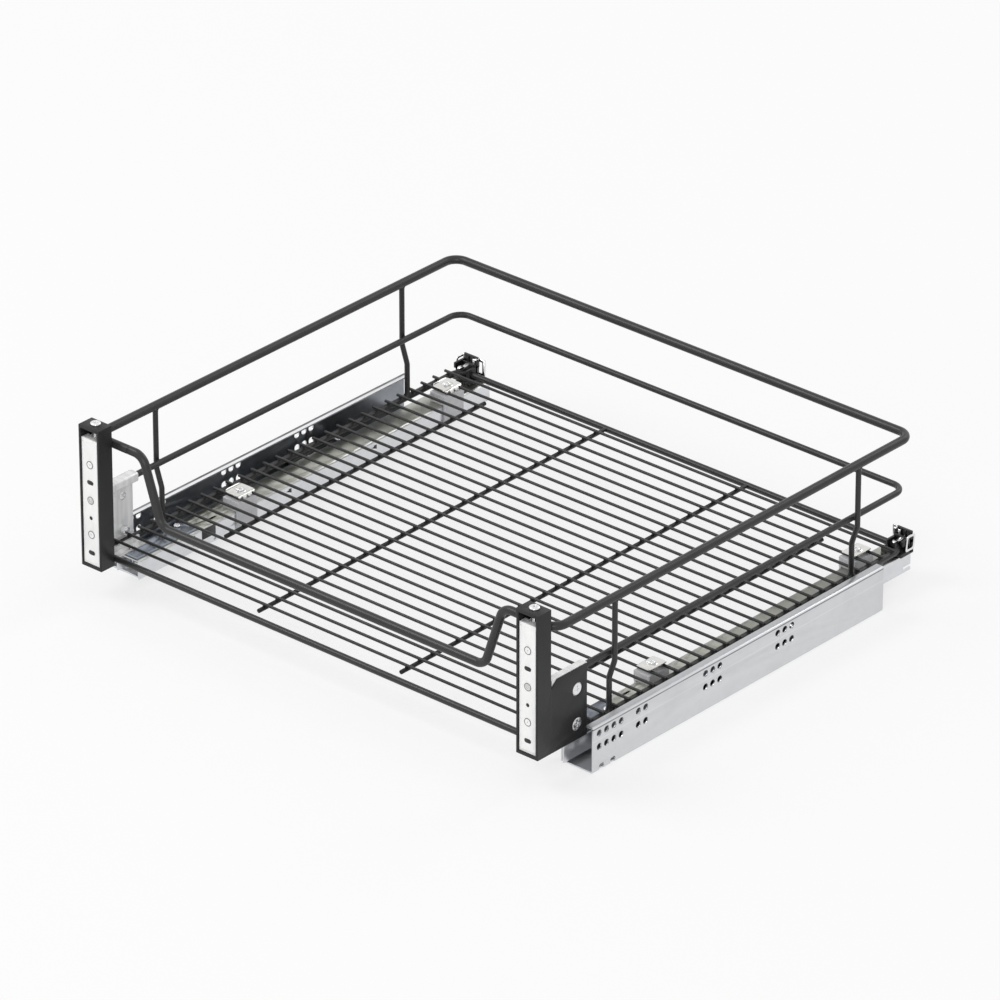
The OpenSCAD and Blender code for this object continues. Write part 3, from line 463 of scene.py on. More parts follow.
def cast_zinc():
    """Upright streaks: noise coarse across Y, long in Z, over a fine casting grain."""
    material, tree, sockets, place = new_finish("zinc_alloy", Metallic=0.40)
    streaks = use_group(tree, STREAKS, place, Across=60.0, Along=240.0, Cross_rise=9.0)["Value"]
    grain = use_group(tree, GRAIN, place, Scale=1400.0, Fleck=0.4)
    steep = ramp(tree, streaks, -0.7, 1.7)
    layers = (steep, (248, 248, 247)), (grain["Fleck"], (218, 218, 218))
    rough = ramp(tree, steep, 0.46, 0.32)
    link_shader(tree, sockets, (222, 222, 223), layers, rough, grain["Height"], 0.18, CASTING_DEPTH)
    return material


ZINC_ALLOY = cast_zinc()
print("alloy", ZINC_ALLOY.name)

# %% [markdown]
# Plastic is black on the rear holders and closer housings, milky on the clips and cages,
# where it lets a little light through, and mid grey on the catches and seals. A mould
# leaves a fine, even grain and a slight change of gloss where the plastic flowed.

# %% Plastics
MOULD_DEPTH = 0.00005
LIGHT_REACH = (0.002, 0.002, 0.0024)


def moulded(name, tone, flow_tone, roughness, clearness=0.0):
    """Moulded plastic: flow marks change the tone, a fine grain bumps it."""
    material, tree, sockets, place = new_finish(name, Metallic=0.0, Subsurface_Weight=clearness,
                                                Subsurface_Radius=LIGHT_REACH, Subsurface_Scale=1.0)
    grain = use_group(tree, GRAIN, place, Scale=2600.0, Fleck=0.3)
    marks = use_group(tree, MARKS, place, Scale=70.0, Amount=0.8)["Mask"]
    rough = ramp(tree, marks, roughness, roughness + 0.12)
    link_shader(tree, sockets, tone, [(marks, flow_tone)], rough, grain["Height"], 0.2, MOULD_DEPTH)
    return material


BLACK_PLASTIC = moulded("black_moulding", (22, 22, 23), (32, 32, 33), 0.34)
MILKY_PLASTIC = moulded("milky_plastic", (206, 206, 209), (192, 192, 195), 0.30, 0.2)
CAGE_PLASTIC = moulded("cage_plastic", (226, 226, 218), (210, 210, 202), 0.38, 0.1)
GREY_PLASTIC = moulded("grey_plastic", (92, 94, 98), (78, 80, 84), 0.36)
print("plastics", BLACK_PLASTIC.name, MILKY_PLASTIC.name, GREY_PLASTIC.name)

# %% [markdown]
# Most new pieces are grids of points, rows by columns, with the corners joined in fours
# and one flat face at each open end. The signed volume of the closed shape is negative
# when the faces point inwards, and then every face is turned round.

# %% Grid surfaces
RIGHT, BACK, UP = np.eye(3)


def closed_grid(points, loop=False):
    """Points (rows, columns, 3) as one closed part: (points, quads, end faces). The columns
    run round. With loop the last row joins the first, and there are no end faces."""
    rows, columns = points.shape[:2]
    i = np.arange(rows if loop else rows - 1)[:, None]
    j = np.arange(columns)[None, :]
    below, beside = (i + 1) % rows, (j + 1) % columns
    corners = (i * columns + j, i * columns + beside, below * columns + beside, below * columns + j)
    first = np.arange(columns)
    ends = [] if loop else [first[::-1], first + (rows - 1) * columns]
    return points.reshape(-1, 3), np.stack(corners, axis=-1).reshape(-1, 4), ends


def grid_of(x, y, z, loop=False):
    """A closed grid from its three coordinates, each widened to the size of the largest."""
    return closed_grid(np.stack(np.broadcast_arrays(x, y, z), axis=-1), loop)


def signed_volume(points, quads, ends):
    """A sixth of the sum of a . (b x c) over the triangles of every face."""
    triangles = [quads[:, [0, 1, 2]], quads[:, [0, 2, 3]]]
    for face in ends:
        triangles.append(np.column_stack([np.full(len(face) - 2, face[0]), face[1:-1], face[2:]]))
    a, b, c = np.moveaxis(points[np.vstack(triangles)], 1, 0)
    return (a * np.cross(b, c)).sum() / 6.0


def new_mesh(name, parts, smooth_below=40.0):
    """One mesh from closed parts in millimetres, each with its faces outwards."""
    points, faces, start = [], [], 0
    for part_points, quads, ends in parts:
        step = 1 if signed_volume(part_points, quads, ends) > 0 else -1
        faces += (quads[:, ::step] + start).tolist()
        faces += [(face[::step] + start).tolist() for face in ends]
        points.append(part_points)
        start += len(part_points)
    mesh = bpy.data.meshes.new(name)
    mesh.from_pydata(metres(np.vstack(points)).tolist(), [], faces)
    mesh.polygons.foreach_set("use_smooth", np.ones(len(mesh.polygons), bool))
    mesh.set_sharp_from_angle(angle=math.radians(smooth_below))
    return mesh


def place_piece(mesh, finish, node=None, body="drawer", slot=None):
    """Puts a mesh in the scene, on its body. With a node, it stands for that node."""
    obj = in_scene(mesh)
    mesh.materials.append(finish)
    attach(obj, BODY_OF.get(node, body))
    if node:
        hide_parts(node)
    return obj


def add_piece(name, parts, finish, node=None, smooth_below=40.0, **settings):
    """Makes a piece from closed parts and puts it in the scene."""
    place_piece(new_mesh(name, parts, smooth_below), finish, node, **settings)


def add_pair(stem, parts, finish, ending="", **settings):
    """A piece on each side, with x times -1 or 1. Its name is the stem, the side and the
    ending. One with an ending stands for the node that the rest of the name says."""
    for side, sign in SIDES.items():
        name = f"{stem}_{side}"
        turned = [(points * np.array([sign, 1.0, 1.0]), quads, ends) for points, quads, ends in parts]
        add_piece(name + ending, turned, finish, name if ending else None, **settings)


def around(columns):
    """Angles evenly round a circle."""
    return np.linspace(0, 2 * math.pi, columns, endpoint=False)


def lathe(seat, axis, heights, radii, columns=40, loop=False):
    """A turned shape: point = seat + height * axis + radius * (cos(a) * side + sin(a) *
    (axis x side)). There is a radius for each height, or for each height and column."""
    axis, heights = np.asarray(axis, float), np.asarray(heights, float)
    side = UP if abs(axis[2]) < 0.9 else RIGHT
    angle = around(columns)[:, None]
    spokes = np.cos(angle) * side + np.sin(angle) * np.cross(axis, side)
    radii = np.reshape(radii, (len(heights), -1, 1))
    return closed_grid(np.asarray(seat, float) + heights[:, None, None] * axis + radii * spokes, loop)


print("a square ring has", len(lathe((0, 0, 0), UP, (0, 1), (1, 1), 4)[1]), "quads")

# %% [markdown]
# A wire is a circle carried along a path, with an arc at each bend and a small rounded rim
# where it is cut. Each path lies in one plane, so the circle's two axes are the plane's
# normal and the path's direction turned by a right angle.

# %% Bent wire
def bent_path(corners, radius, arc_steps=10, run_step=60.0, closed=False):
    """Straight runs joined by arcs. With u and v the unit vectors from a corner to its
    neighbours and w half the angle between them, an arc starts radius / tan(w) from the
    corner, about the point (u + v) / |u + v| * radius / sin(w)."""
    corners = [np.asarray(corner, float) for corner in corners]
    count = len(corners)
    pieces = []
    for k, corner in enumerate(corners):
        if not closed and k in (0, count - 1):
            pieces.append(corner[None])
            continue
        u = corners[k - 1] - corner
        v = corners[(k + 1) % count] - corner
        u, v = u / np.linalg.norm(u), v / np.linalg.norm(v)
        half = math.acos(np.clip(u @ v, -1, 1)) / 2
        centre = corner + (u + v) / np.linalg.norm(u + v) * radius / math.sin(half)
        spoke = corner + u * radius / math.tan(half) - centre
        angles = np.linspace(0, math.pi - 2 * half, arc_steps)[:, None]
        pieces.append(centre + np.cos(angles) * spoke - np.sin(angles) * u * radius)
    path = [pieces[0]]
    for piece in pieces[1:] + ([pieces[0][:1]] if closed else []):
        gap = piece[0] - path[-1][-1]
        steps = max(int(np.linalg.norm(gap) / run_step), 1)
        share = (np.arange(1, steps) / steps)[:, None]
        path += [path[-1][-1] + share * gap, piece]
    path = np.vstack(path)
    return path[:-1] if closed else path


def tube(path, normal, radius, sides=20, closed=False, rim=0.35):
    """point = path + r * (cos(a) * normal + sin(a) * (tangent x normal)). An open tube
    has four rings at each end, whose radius falls by rim as a quarter circle."""
    path, normal = np.asarray(path, float), np.asarray(normal, float)
    round_trip = np.roll(path, -1, axis=0) - np.roll(path, 1, axis=0)
    tangent = round_trip if closed else np.gradient(path, axis=0)
    tangent /= np.linalg.norm(tangent, axis=1, keepdims=True)
    radii = np.full(len(path), float(radius))
    if not closed:
        turn = np.linspace(0, math.pi / 2, 4)
        inset, drop = rim * (1 - np.cos(turn)), rim * (1 - np.sin(turn))
        first = path[0] + inset[:, None] * tangent[0]
        last = path[-1] - inset[::-1, None] * tangent[-1]
        path = np.vstack([first, path[1:-1], last])
        tangent = np.vstack([np.repeat(tangent[:1], 4, 0), tangent[1:-1], np.repeat(tangent[-1:], 4, 0)])
        radii = np.concatenate([radii[0] - drop, radii[1:-1], radii[-1] - drop[::-1]])
    across = np.cross(tangent, normal)
    angle = around(sides)[None, :, None]
    ring = np.cos(angle) * normal + np.sin(angle) * across[:, None]
    return closed_grid(path[:, None] + radii[:, None, None] * ring, closed)


def bead(centre, along, across, lift, sides=8, rows=6):
    """A squeezed weld: point = centre + cos(t) * (along * cos(a) + across * sin(a)) + sin(t) * lift."""
    t = np.linspace(-1.35, 1.35, rows)[:, None, None]
    a = around(sides)[None, :, None]
    spread = np.cos(a) * along + np.sin(a) * across
    return closed_grid(np.asarray(centre, float) + np.cos(t) * spread + np.sin(t) * lift)


print("arc test:", len(bent_path([(0, 0, 0), (50, 0, 0), (50, 50, 0)], 10)), "points")

# %% [markdown]
# These are the places of the basket's wires, the same values as the solids have. x is half
# the width, z the height, d the wire's thickness, and front and rear are where it ends.

# %% Places of the wires
DEPTH = 492.0
BEND_R = 13.0
ARC_STEPS = 14
POST_X = 253.3
FOOT_Z = 28.3
TOP = SimpleNamespace(x=266.2, z=146.4, front=21.1, d=8.0, join=225.0, dip_top=208.5, dip_low=187.4, dip=63.0)
MIDDLE = SimpleNamespace(x=260.7, z=92.4, front=21.0, d=5.8)
BASE = SimpleNamespace(x=260.2, z=33.4, front=23.2, d=6.0)
STANCHION = SimpleNamespace(d=5.0, foot=36.5, low=67.3, high=85.3, top=142.3, bend=10.0)
STANCHION_Y = {"front": 97.5, "rear": 420.0}
CROSS = SimpleNamespace(z=37.9, d=2.8, first=38.7, count=28, end=264.4, short_end=263.0, short_before=66.6)
LONG = SimpleNamespace(x=82.9, z=34.4, d=4.0, front=30.8, rear=DEPTH - BASE.d / 2 - 0.1)
SHORT = SimpleNamespace(x=198.0, z=34.4, d=4.0, front=112.0, rear=456.0)
PITCH = (DEPTH - CROSS.first) / CROSS.count
CROSS_Y = CROSS.first + PITCH * np.arange(CROSS.count)
print("cross wires every", round(PITCH, 2), "mm")

# %% [markdown]
# The top rail is one closed loop. At the front it dips, so that a pan can be lifted over
# it. It is made of a level part, the sides and rear, and an upright part, the dip, which
# overlap in the straight front run.

# %% Rails
OVERLAP = 2.0


def two_halves(half):
    """A bent path that is the same on both sides: one half's corners, then the other's back."""
    return bent_path(half + [(-x, y, z) for x, y, z in reversed(half)], BEND_R, ARC_STEPS)


def post_welds(y, z, rise, half_long, half_deep, lift):
    """Four beads between a bar and the posts, above and below the bar's middle."""
    return [bead((sign * POST_X, y, z + up * rise), half_long * RIGHT, half_deep * BACK, lift * UP)
            for sign in (-1, 1) for up in (-1, 1)]


level = two_halves([(TOP.join, TOP.front, TOP.z), (TOP.x, TOP.front, TOP.z), (TOP.x, DEPTH, TOP.z)])
upright = two_halves([(-TOP.join, TOP.front, TOP.z), (-TOP.dip_top, TOP.front, TOP.z),
                      (-TOP.dip_low, TOP.front, TOP.z - TOP.dip)])
upright[0, 0] -= OVERLAP
upright[-1, 0] += OVERLAP
parts = [tube(level, UP, TOP.d / 2, 28), tube(upright, BACK, TOP.d / 2 - 0.01, 28)]
parts += post_welds(TOP.front - 3.6, TOP.z, 2.4, 6.5, 0.9, 1.1)
add_piece("top_rail_wire", parts, ANTHRACITE, "top_rail")
for node, rail in (("mid_rail", MIDDLE), ("bottom_frame", BASE)):
    path = two_halves([(-rail.x, rail.front, rail.z), (-rail.x, DEPTH, rail.z)])
    add_piece(node + "_wire", [tube(path, UP, rail.d / 2, 24)], ANTHRACITE, node)

low, high = node_box("front_bar")
bar_y, bar_z = (low[1:] + high[1:]) / 2
path = bent_path([(low[0], bar_y, bar_z), (high[0], bar_y, bar_z)], BEND_R)
parts = [tube(path, UP, (high[2] - low[2]) / 2, 24)] + post_welds(bar_y - 2.7, bar_z, 1.8, 6.0, 0.8, 0.9)
add_piece("front_bar_wire", parts, ANTHRACITE, "front_bar")

# %% [markdown]
# A stanchion stands on the bottom frame, leans outwards past the middle rail and ends
# under the top rail. At each end the wire flares into a small fillet weld, and a bead
# joins it to the middle rail where it passes.

# %% Stanchions
def collar(point, axis, radius, length=1.8, rise=1.1):
    """A fillet weld round a wire: radius + rise * exp(-distance / length) along the axis,
    brought down to nothing at three lengths."""
    steps = np.linspace(0, 3 * length, 7)
    flare = rise * np.exp(-steps / length) * (1 - steps / steps[-1])
    return lathe(point, axis, steps, radius + flare - 0.02, 16)


for place, y in STANCHION_Y.items():
    route = bent_path([(BASE.x, y, STANCHION.foot), (BASE.x, y, STANCHION.low),
                       (TOP.x, y, STANCHION.high), (TOP.x, y, STANCHION.top)], STANCHION.bend)
    radius = STANCHION.d / 2
    parts = [tube(route, BACK, radius, rim=0.1),
             collar((BASE.x, y, STANCHION.foot - 1.2), UP, radius),
             collar((TOP.x, y, STANCHION.top + 1.6), -UP, radius),
             bead(((TOP.x + MIDDLE.x + 0.25) / 2, y, MIDDLE.z), 2.2 * BACK, 2.4 * UP, 1.3 * RIGHT)]
    add_pair(f"stanchion_{place}", parts, ANTHRACITE, "_wire")
print("stanchions at", list(STANCHION_Y.values()))

# %% [markdown]
# The floor is 28 thin cross wires laid over two thick side wires and four lengthwise
# ones. Each crossing has a small flat weld bead. There are more than 150 of them, so each
# is a coarse ellipsoid of a few dozen faces.

# %% Floor wires
def straight(start, end, d, sides, rim):
    """A straight level wire with one ring half way."""
    start, end = np.array(start, float), np.array(end, float)
    return tube([start, (start + end) / 2, end], UP, d / 2, sides, rim=rim)


def crossing_beads(half_x, places, z):
    """A flat bead at each crossing with the two lengthwise wires at x = -half_x and half_x."""
    return [bead((x, y, z), 1.9 * RIGHT, 1.9 * BACK, 0.75 * UP) for x in (-half_x, half_x) for y in places]


parts = []
for y in CROSS_Y:
    end = CROSS.short_end if y < CROSS.short_before else CROSS.end
    parts.append(straight((-end, y, CROSS.z), (end, y, CROSS.z), CROSS.d, 14, 0.3))
side_welds = crossing_beads(BASE.x, CROSS_Y, CROSS.z - CROSS.d / 2 - 0.05)
add_piece("cross_wires_coated", parts + side_welds, ANTHRACITE, "cross_wires")

for node, wire in (("long_wires", LONG), ("short_wires", SHORT)):
    crossed = CROSS_Y[(CROSS_Y > wire.front + 1) & (CROSS_Y < wire.rear - 1)]
    parts = [straight((x, wire.front, wire.z), (x, wire.rear, wire.z), wire.d, 16, 0.4)
             for x in (-wire.x, wire.x)]
    parts += crossing_beads(wire.x, crossed, wire.z + wire.d / 2 + 0.05)
    add_piece(node + "_coated", parts, DARK_COAT, node)
print("floor beads:", len(side_welds), "on the side wires")

# %% [markdown]
# Folded sheet and moulded parts have a radius of a few tenths of a millimetre at their
# edges, and it catches the light. So these parts start from the solids: the triangles are
# merged, flat areas become one face again, and a Bevel modifier rounds every sharp edge.

# %% Rounded edges on the solids
SAME_POINT = 2e-6
FLAT_ANGLE = math.radians(0.6)
EDGE_ANGLE = math.radians(32.0)


def node_mesh(node):
    """A merged copy of a solid's mesh: doubles joined, flat triangles dissolved into faces."""
    work = bmesh.new()
    work.from_mesh(frame["nodes"][node].data)
    bmesh.ops.remove_doubles(work, verts=work.verts, dist=SAME_POINT)
    bmesh.ops.dissolve_limit(work, angle_limit=FLAT_ANGLE, verts=work.verts, edges=work.edges)
    mesh = bpy.data.meshes.new(node + "_rounded")
    work.to_mesh(mesh)
    work.free()
    mesh.polygons.foreach_set("use_smooth", np.ones(len(mesh.polygons), bool))
    return mesh


def softened(node, finish, width=0.3, steps=2):
    """Puts a solid's merged copy in its place, with its finish and with a bevel of the width
    in millimetres on its edges."""
    bevel = place_piece(node_mesh(node), finish, node).modifiers.new("edge_radius", "BEVEL")
    bevel.width, bevel.segments = width * MM, steps
    bevel.limit_method, bevel.angle_limit = "ANGLE", EDGE_ANGLE
    bevel.use_clamp_overlap = bevel.harden_normals = True
    bevel.miter_outer = "MITER_ARC"


ROUNDED = (
    ("post", BLACK_PAINT, 0.45, 3), ("front_plate", WHITE_PAINT, 0.25), ("bracket", ZINC_ALLOY, 0.35, 3),
    ("front_adapter", DARK_STEEL), ("cabinet_rail", FLANGE_STRIP, 0.22), ("middle_rail", ZINC_STRIP),
    ("drawer_rail", RUNNER_STRIP), ("rear_hook", BRIGHT_STEEL), ("clip_front", MILKY_PLASTIC, 0.5, 3),
    ("clip_rear", MILKY_PLASTIC, 0.5, 3), ("closer_housing", BLACK_PLASTIC, 0.4),
    ("closer_catch", GREY_PLASTIC), ("damper_cylinder", DARK_STEEL, 0.4), ("damper_rod", BRIGHT_STEEL, 0.2),
    ("lower_cage", CAGE_PLASTIC, 0.25), ("upper_cage", CAGE_PLASTIC, 0.25), ("lower_rollers", BRIGHT_STEEL),
    ("upper_rollers", BRIGHT_STEEL),
)
for side in SIDES:
    for node, *settings in ROUNDED:
        softened(f"{node}_{side}", *settings)
softened("catch_pins", BRIGHT_STEEL)

# %% [markdown]
# A screw is one closed surface, ring after ring from the tip, over the shank and the domed
# head, to the floor of the recess. The thread climbs one pitch per turn, and the cross is
# a ring whose radius changes with the angle.

# %% Screws
RECESS_RIM = 0.12
RECESS_TAPER = 0.86
THREAD_DEPTH = 0.4


def cross_radius(angle, arm, half_width):
    """The outline of two crossed bars in polar form: the larger of the two bars' radii,
    each the smaller of arm / |cos| and half_width / |sin|, and the same turned."""
    cosine, sine = np.abs(np.cos(angle)) + 1e-9, np.abs(np.sin(angle)) + 1e-9
    first, second = np.minimum(arm / cosine, half_width / sine), np.minimum(half_width / cosine, arm / sine)
    return np.maximum(first, second)


def threaded(heights, radii, angle, pitch, start, end):
    """From start to end the radius falls by depth * |2 * frac(height / pitch - turn) - 1|."""
    fine = np.arange(start, end, pitch / 6)
    spot = np.searchsorted(heights, start)
    radii = np.insert(radii, spot, np.interp(fine, heights, radii))[:, None]
    heights = np.insert(heights, spot, fine)[:, None]
    climb = np.abs(2 * ((heights / pitch - angle / (2 * math.pi)) % 1.0) - 1)
    inside = (heights >= start) & (heights <= end)
    return heights[:, 0], radii - np.where(inside, THREAD_DEPTH * climb, 0.0)


def screw(seat, axis, profile, recess, thread=None, columns=48):
    """Rings along the axis from a seat point. The profile is (height, radius) from the tip to
    the flat top; recess is (arm, half width, depth); thread is (pitch, start, end)."""
    angle = around(columns)
    heights, radii = np.array(profile, float).T
    top = heights[-1]
    rings = np.repeat(radii[:, None], columns, axis=1)
    if thread:
        heights, rings = threaded(heights, radii, angle, *thread)
    arm, half_width, depth = recess
    cross = cross_radius(angle, arm, half_width)
    rings = np.vstack([rings, cross + RECESS_RIM, cross, cross * RECESS_TAPER])
    return lathe(seat, axis, [*heights, top, top - RECESS_RIM, top - depth], rings, columns)


def domed(rim_radius, rim_height, top_radius, top_height, steps=5):
    """A quarter ellipse from the rim to the flat top, as (height, radius) pairs."""
    turns = np.linspace(0, math.pi / 2, steps + 1)[:-1]
    dome = [(rim_height + (top_height - rim_height) * math.sin(turn),
             top_radius + (rim_radius - top_radius) * math.cos(turn)) for turn in turns]
    return dome + [(top_height, top_radius)]


HEIGHT_SCREW_Z = 166.4
profile = [(-21.8, 1.9), (-21.2, 2.45), (-5.1, 2.5), (-4.7, 2.5), (-4.65, 3.8), (-4.5, 4.0), (-3.5, 4.0),
           (-3.35, 3.8), (-3.3, 2.5), (-0.02, 2.5), (0.0, 4.55), (0.15, 4.78)] + domed(4.8, 0.9, 3.1, 2.2)
for side in SIDES:
    low, high = node_box(f"height_screw_{side}")
    seat = (*(low[:2] + high[:2]) / 2, HEIGHT_SCREW_Z)
    part = screw(seat, UP, profile, (2.3, 0.5, 1.5), (0.8, -20.9, -5.4))
    add_piece(f"height_screw_{side}_cut", [part], BRIGHT_STEEL, f"height_screw_{side}", smooth_below=50)
print("height screws at", np.round(seat, 1))

# %% [markdown]
# Three nodes hold several screws each. The clip screws and the adapter screws stand
# upright, and the bracket screws lie across, with heads outside the side plates and nuts
# inside. The lower nut is the longer one, because it also clamps the foot.

# %% Small screws
CLIP_X, CLIP_Y, CLIP_SEAT = 240.0, (176.3, 451.5), 41.3
ADAPTER_X, ADAPTER_Y, ADAPTER_SEAT = 251.0, (48.0, 106.0), (30.3, 29.2)
SIDE_PLATE_X, WINDOW_Y = 264.4, 50.8
BRACKET_NUTS = ((43.0, 4.6), (76.6, 0.7))

low, high = node_box("clip_screws")
tip, top = low[2] - CLIP_SEAT, high[2] - CLIP_SEAT
profile = [(tip, 0.9), (tip + 0.4, 1.6), (-0.05, 1.75), (0.0, 3.2), (0.15, 3.45)] + domed(3.5, 0.5, 2.3, top)
parts = [screw((sign * CLIP_X, y, CLIP_SEAT), UP, profile, (1.7, 0.36, 1.0))
         for sign in (-1, 1) for y in CLIP_Y]
add_piece("clip_screws_cut", parts, BRIGHT_STEEL, "clip_screws", smooth_below=50)

tip = node_box("adapter_screws")[0][2]
parts = []
for y, seat_z in zip(ADAPTER_Y, ADAPTER_SEAT):
    profile = [(tip - seat_z, 1.3), (tip - seat_z + 0.4, 1.7), (-0.05, 1.75), (0.0, 3.3), (0.15, 3.5)]
    profile += domed(3.6, 0.5, 2.4, 1.6)
    parts += [screw((sign * ADAPTER_X, y, seat_z), UP, profile, (1.8, 0.38, 1.0)) for sign in (-1, 1)]
add_piece("adapter_screws_cut", parts, BRIGHT_STEEL, "adapter_screws", smooth_below=50)

parts = []
for z, nut in BRACKET_NUTS:
    profile = [(-1.1 - nut, 2.4), (-0.95 - nut, 3.7), (-0.7 - nut, 4.0), (-1.35, 4.0), (-1.12, 3.8),
               (-1.1, 3.0), (0.0, 3.0), (0.02, 5.2), (0.15, 5.45), (0.6, 5.5), (0.8, 5.3), (0.88, 5.0)]
    parts += [screw((sign * SIDE_PLATE_X, WINDOW_Y, z), sign * RIGHT, profile, (2.7, 0.55, 0.7))
              for sign in (-1, 1)]
add_piece("bracket_screws_cut", parts, BRIGHT_STEEL, "bracket_screws", smooth_below=50)
print("clip, adapter and bracket screws at Y", CLIP_Y, ADAPTER_Y, WINDOW_Y)

# %% [markdown]
# The white plates carry three round places each. The outer two hold white plugs with a
# small bore, and the middle one a screw with two rings, all in thin grey seals. Black nut
# strips fill the slots. All are turned or extruded shapes with a little play.

# %% Plugs and nut strips of the white plates
PLATE_X, PLATE_FRONT = 253.35, 1.0
PLUG_RISE, MIDDLE_RISE, SLOT_RISE, PIN_RISE = (32.8, 101.3), (66.5,), (14.9, 83.9), (49.2,)
PLUG = [(-2.3, 2.2), (-2.2, 2.6), (0.0, 2.6), (0.05, 3.1), (0.2, 3.1), (0.3, 2.95), (0.3, 2.5), (0.16, 2.4),
        (0.16, 2.2), (0.3, 2.1), (0.3, 0.95), (0.22, 0.8), (-1.4, 0.75)]
RINGED = [(-2.3, 2.2), (-2.2, 2.6), (0.0, 2.6), (0.05, 3.2), (0.25, 3.2), (0.4, 3.0), (0.4, 2.6), (0.1, 2.45),
          (0.1, 2.0), (0.35, 1.85), (0.35, 1.5), (0.05, 1.4), (0.05, 1.0), (0.3, 0.85), (0.3, 0.5)]
SEAL = [(0.02, 3.18), (0.02, 3.75), (0.3, 3.7), (0.34, 3.45), (0.3, 3.2)]
PIN = [(-1.9, 1.2), (-0.02, 1.37), (0.0, 1.8), (0.12, 1.75), (0.2, 1.6)]
NUT = [(1.9, 1.5), (0.02, 1.57), (0.0, 2.05), (-0.12, 2.02), (-0.2, 1.9)]
NUT_STRAIGHT = 1.7
BORDER = ((-8.5, 35.0), (8.5, 35.0), (8.5, 151.5), (-8.5, 151.5))


def on_plate(sign, rises, profile, loop=False):
    """Turned shapes on the front of a plate, at their rises above its foot."""
    return [lathe((sign * PLATE_X, PLATE_FRONT, FOOT_Z + rise), -BACK, *zip(*profile), loop=loop)
            for rise in rises]


def nut_strip(sign, rise, columns=32):
    """A black strip in a slot: rings of two half circles with straight sides between, each
    ring at a depth behind the front and with a radius."""
    depth, radius = np.array(NUT).T[:, :, None]
    angle = around(columns)
    x = sign * PLATE_X + np.where(np.cos(angle) >= 0, 1, -1) * NUT_STRAIGHT + radius * np.cos(angle)
    z = FOOT_Z + rise + radius * np.sin(angle)
    return grid_of(x, PLATE_FRONT + depth, z)


for side, sign in SIDES.items():
    border = bent_path([(sign * PLATE_X + x, PLATE_FRONT, z) for x, z in BORDER], 1.5, 5, closed=True)
    strips = [nut_strip(sign, rise) for rise in SLOT_RISE]
    trim = (
        ("border", [tube(border, BACK, 0.22, 8, closed=True)], WHITE_PAINT, "white_steel", 60),
        ("plugs", on_plate(sign, PLUG_RISE, PLUG), WHITE_PAINT, "white_steel", 30),
        ("screw", on_plate(sign, MIDDLE_RISE, RINGED), PLATED_STRIP, "bright_steel", 30),
        ("seals", on_plate(sign, PLUG_RISE + MIDDLE_RISE, SEAL, True), GREY_PLASTIC, "black_plastic", 40),
        ("nuts", strips + on_plate(sign, PIN_RISE, PIN), BLACK_PLASTIC, "black_plastic", 40),
    )
    for name, parts, finish, slot, smooth_below in trim:
        add_piece(f"plate_{name}_{side}", parts, finish, body=f"plate_{side}", slot=slot,
                  smooth_below=smooth_below)
print("plate holes at rises", PLUG_RISE, MIDDLE_RISE, SLOT_RISE, PIN_RISE)

# %% [markdown]
# A clip plate is pressed from thin bright strip, with a raised ring round its screw and an
# edge that is cut into tongues and bent down over a cross wire. Its rings run from the
# hole to the outline, over the edge and back underneath, so there are no ends to close.

# %% Clip plates
CLIP_PLATE_Z = 40.9
BORE = 1.9


def rounded_radius(angle, half_x, half_y, power=6.0):
    """A rounded rectangle in polar form: (|cos/hx|^p + |sin/hy|^p) ^ (-1/p)."""
    across, along = np.abs(np.cos(angle)) / half_x, np.abs(np.sin(angle)) / half_y
    return (across ** power + along ** power) ** (-1 / power)


def clip_plate(sign, y, half_x=9.5, half_y=11.0, thick=1.0, columns=96):
    """Height = z + ring emboss - dish - curl near the inner edge + lift of the outer one. The
    radius runs from the bore to the outline, whose inner edge is cut into three tongues."""
    angle = around(columns)
    edge = rounded_radius(angle, half_x, half_y)
    on_edge = np.clip((-sign * np.cos(angle) * edge - 0.55 * half_x) / (0.45 * half_x), 0, 1)
    notch = on_edge * np.clip(2.4 * np.cos(3 * math.pi * np.sin(angle) * edge / half_y) - 0.8, 0, 1)
    share = np.concatenate([np.linspace(0, 0.72, 16), np.linspace(0.76, 1.0, 9)])
    reach = BORE + share[:, None] * (edge * (1 - 0.13 * notch) - BORE)
    inward = -sign * np.cos(angle) * reach
    ring = 0.75 * np.exp(-(((reach - 4.6) / 0.75) ** 2))
    dish = 0.35 * np.exp(-((reach / 3.2) ** 4))
    curl = 2.6 * np.clip((inward - 0.66 * half_x) / (0.34 * half_x), 0, 1) ** 2
    lift = 1.1 * np.clip((-inward - 0.7 * half_x) / (0.3 * half_x), 0, 1) ** 2
    top = CLIP_PLATE_Z + ring - dish - curl + lift
    radius = np.vstack([reach, reach[::-1] - 0.05])
    height = np.vstack([top, top[::-1] - thick])
    return grid_of(sign * CLIP_X + np.cos(angle) * radius, y + np.sin(angle) * radius, height, True)


parts = [clip_plate(sign, y) for sign in (-1, 1) for y in CLIP_Y]
add_piece("clip_plates_pressed", parts, PLATED_STRIP, "clip_plates", smooth_below=55)
print("clip plate points", parts[0][0].shape)

# %% [markdown]
# The drawer member has small lances: tongues cut free in its wall and bent inwards, which
# stop the middle member. Black slabs fill the window near its front, the slot beside it and
# the slot behind each lance: painted shade, dark sheets for the shaded inside seen through them.

# %% Lances of the drawer members, and dark fills for the shade in their openings
RAIL_INNER, RAIL_OUTER = 233.5, 235.0
LANCE_Y, LANCE_LOW, LANCE_HIGH = (230.0, 343.0), 17.2, 20.3


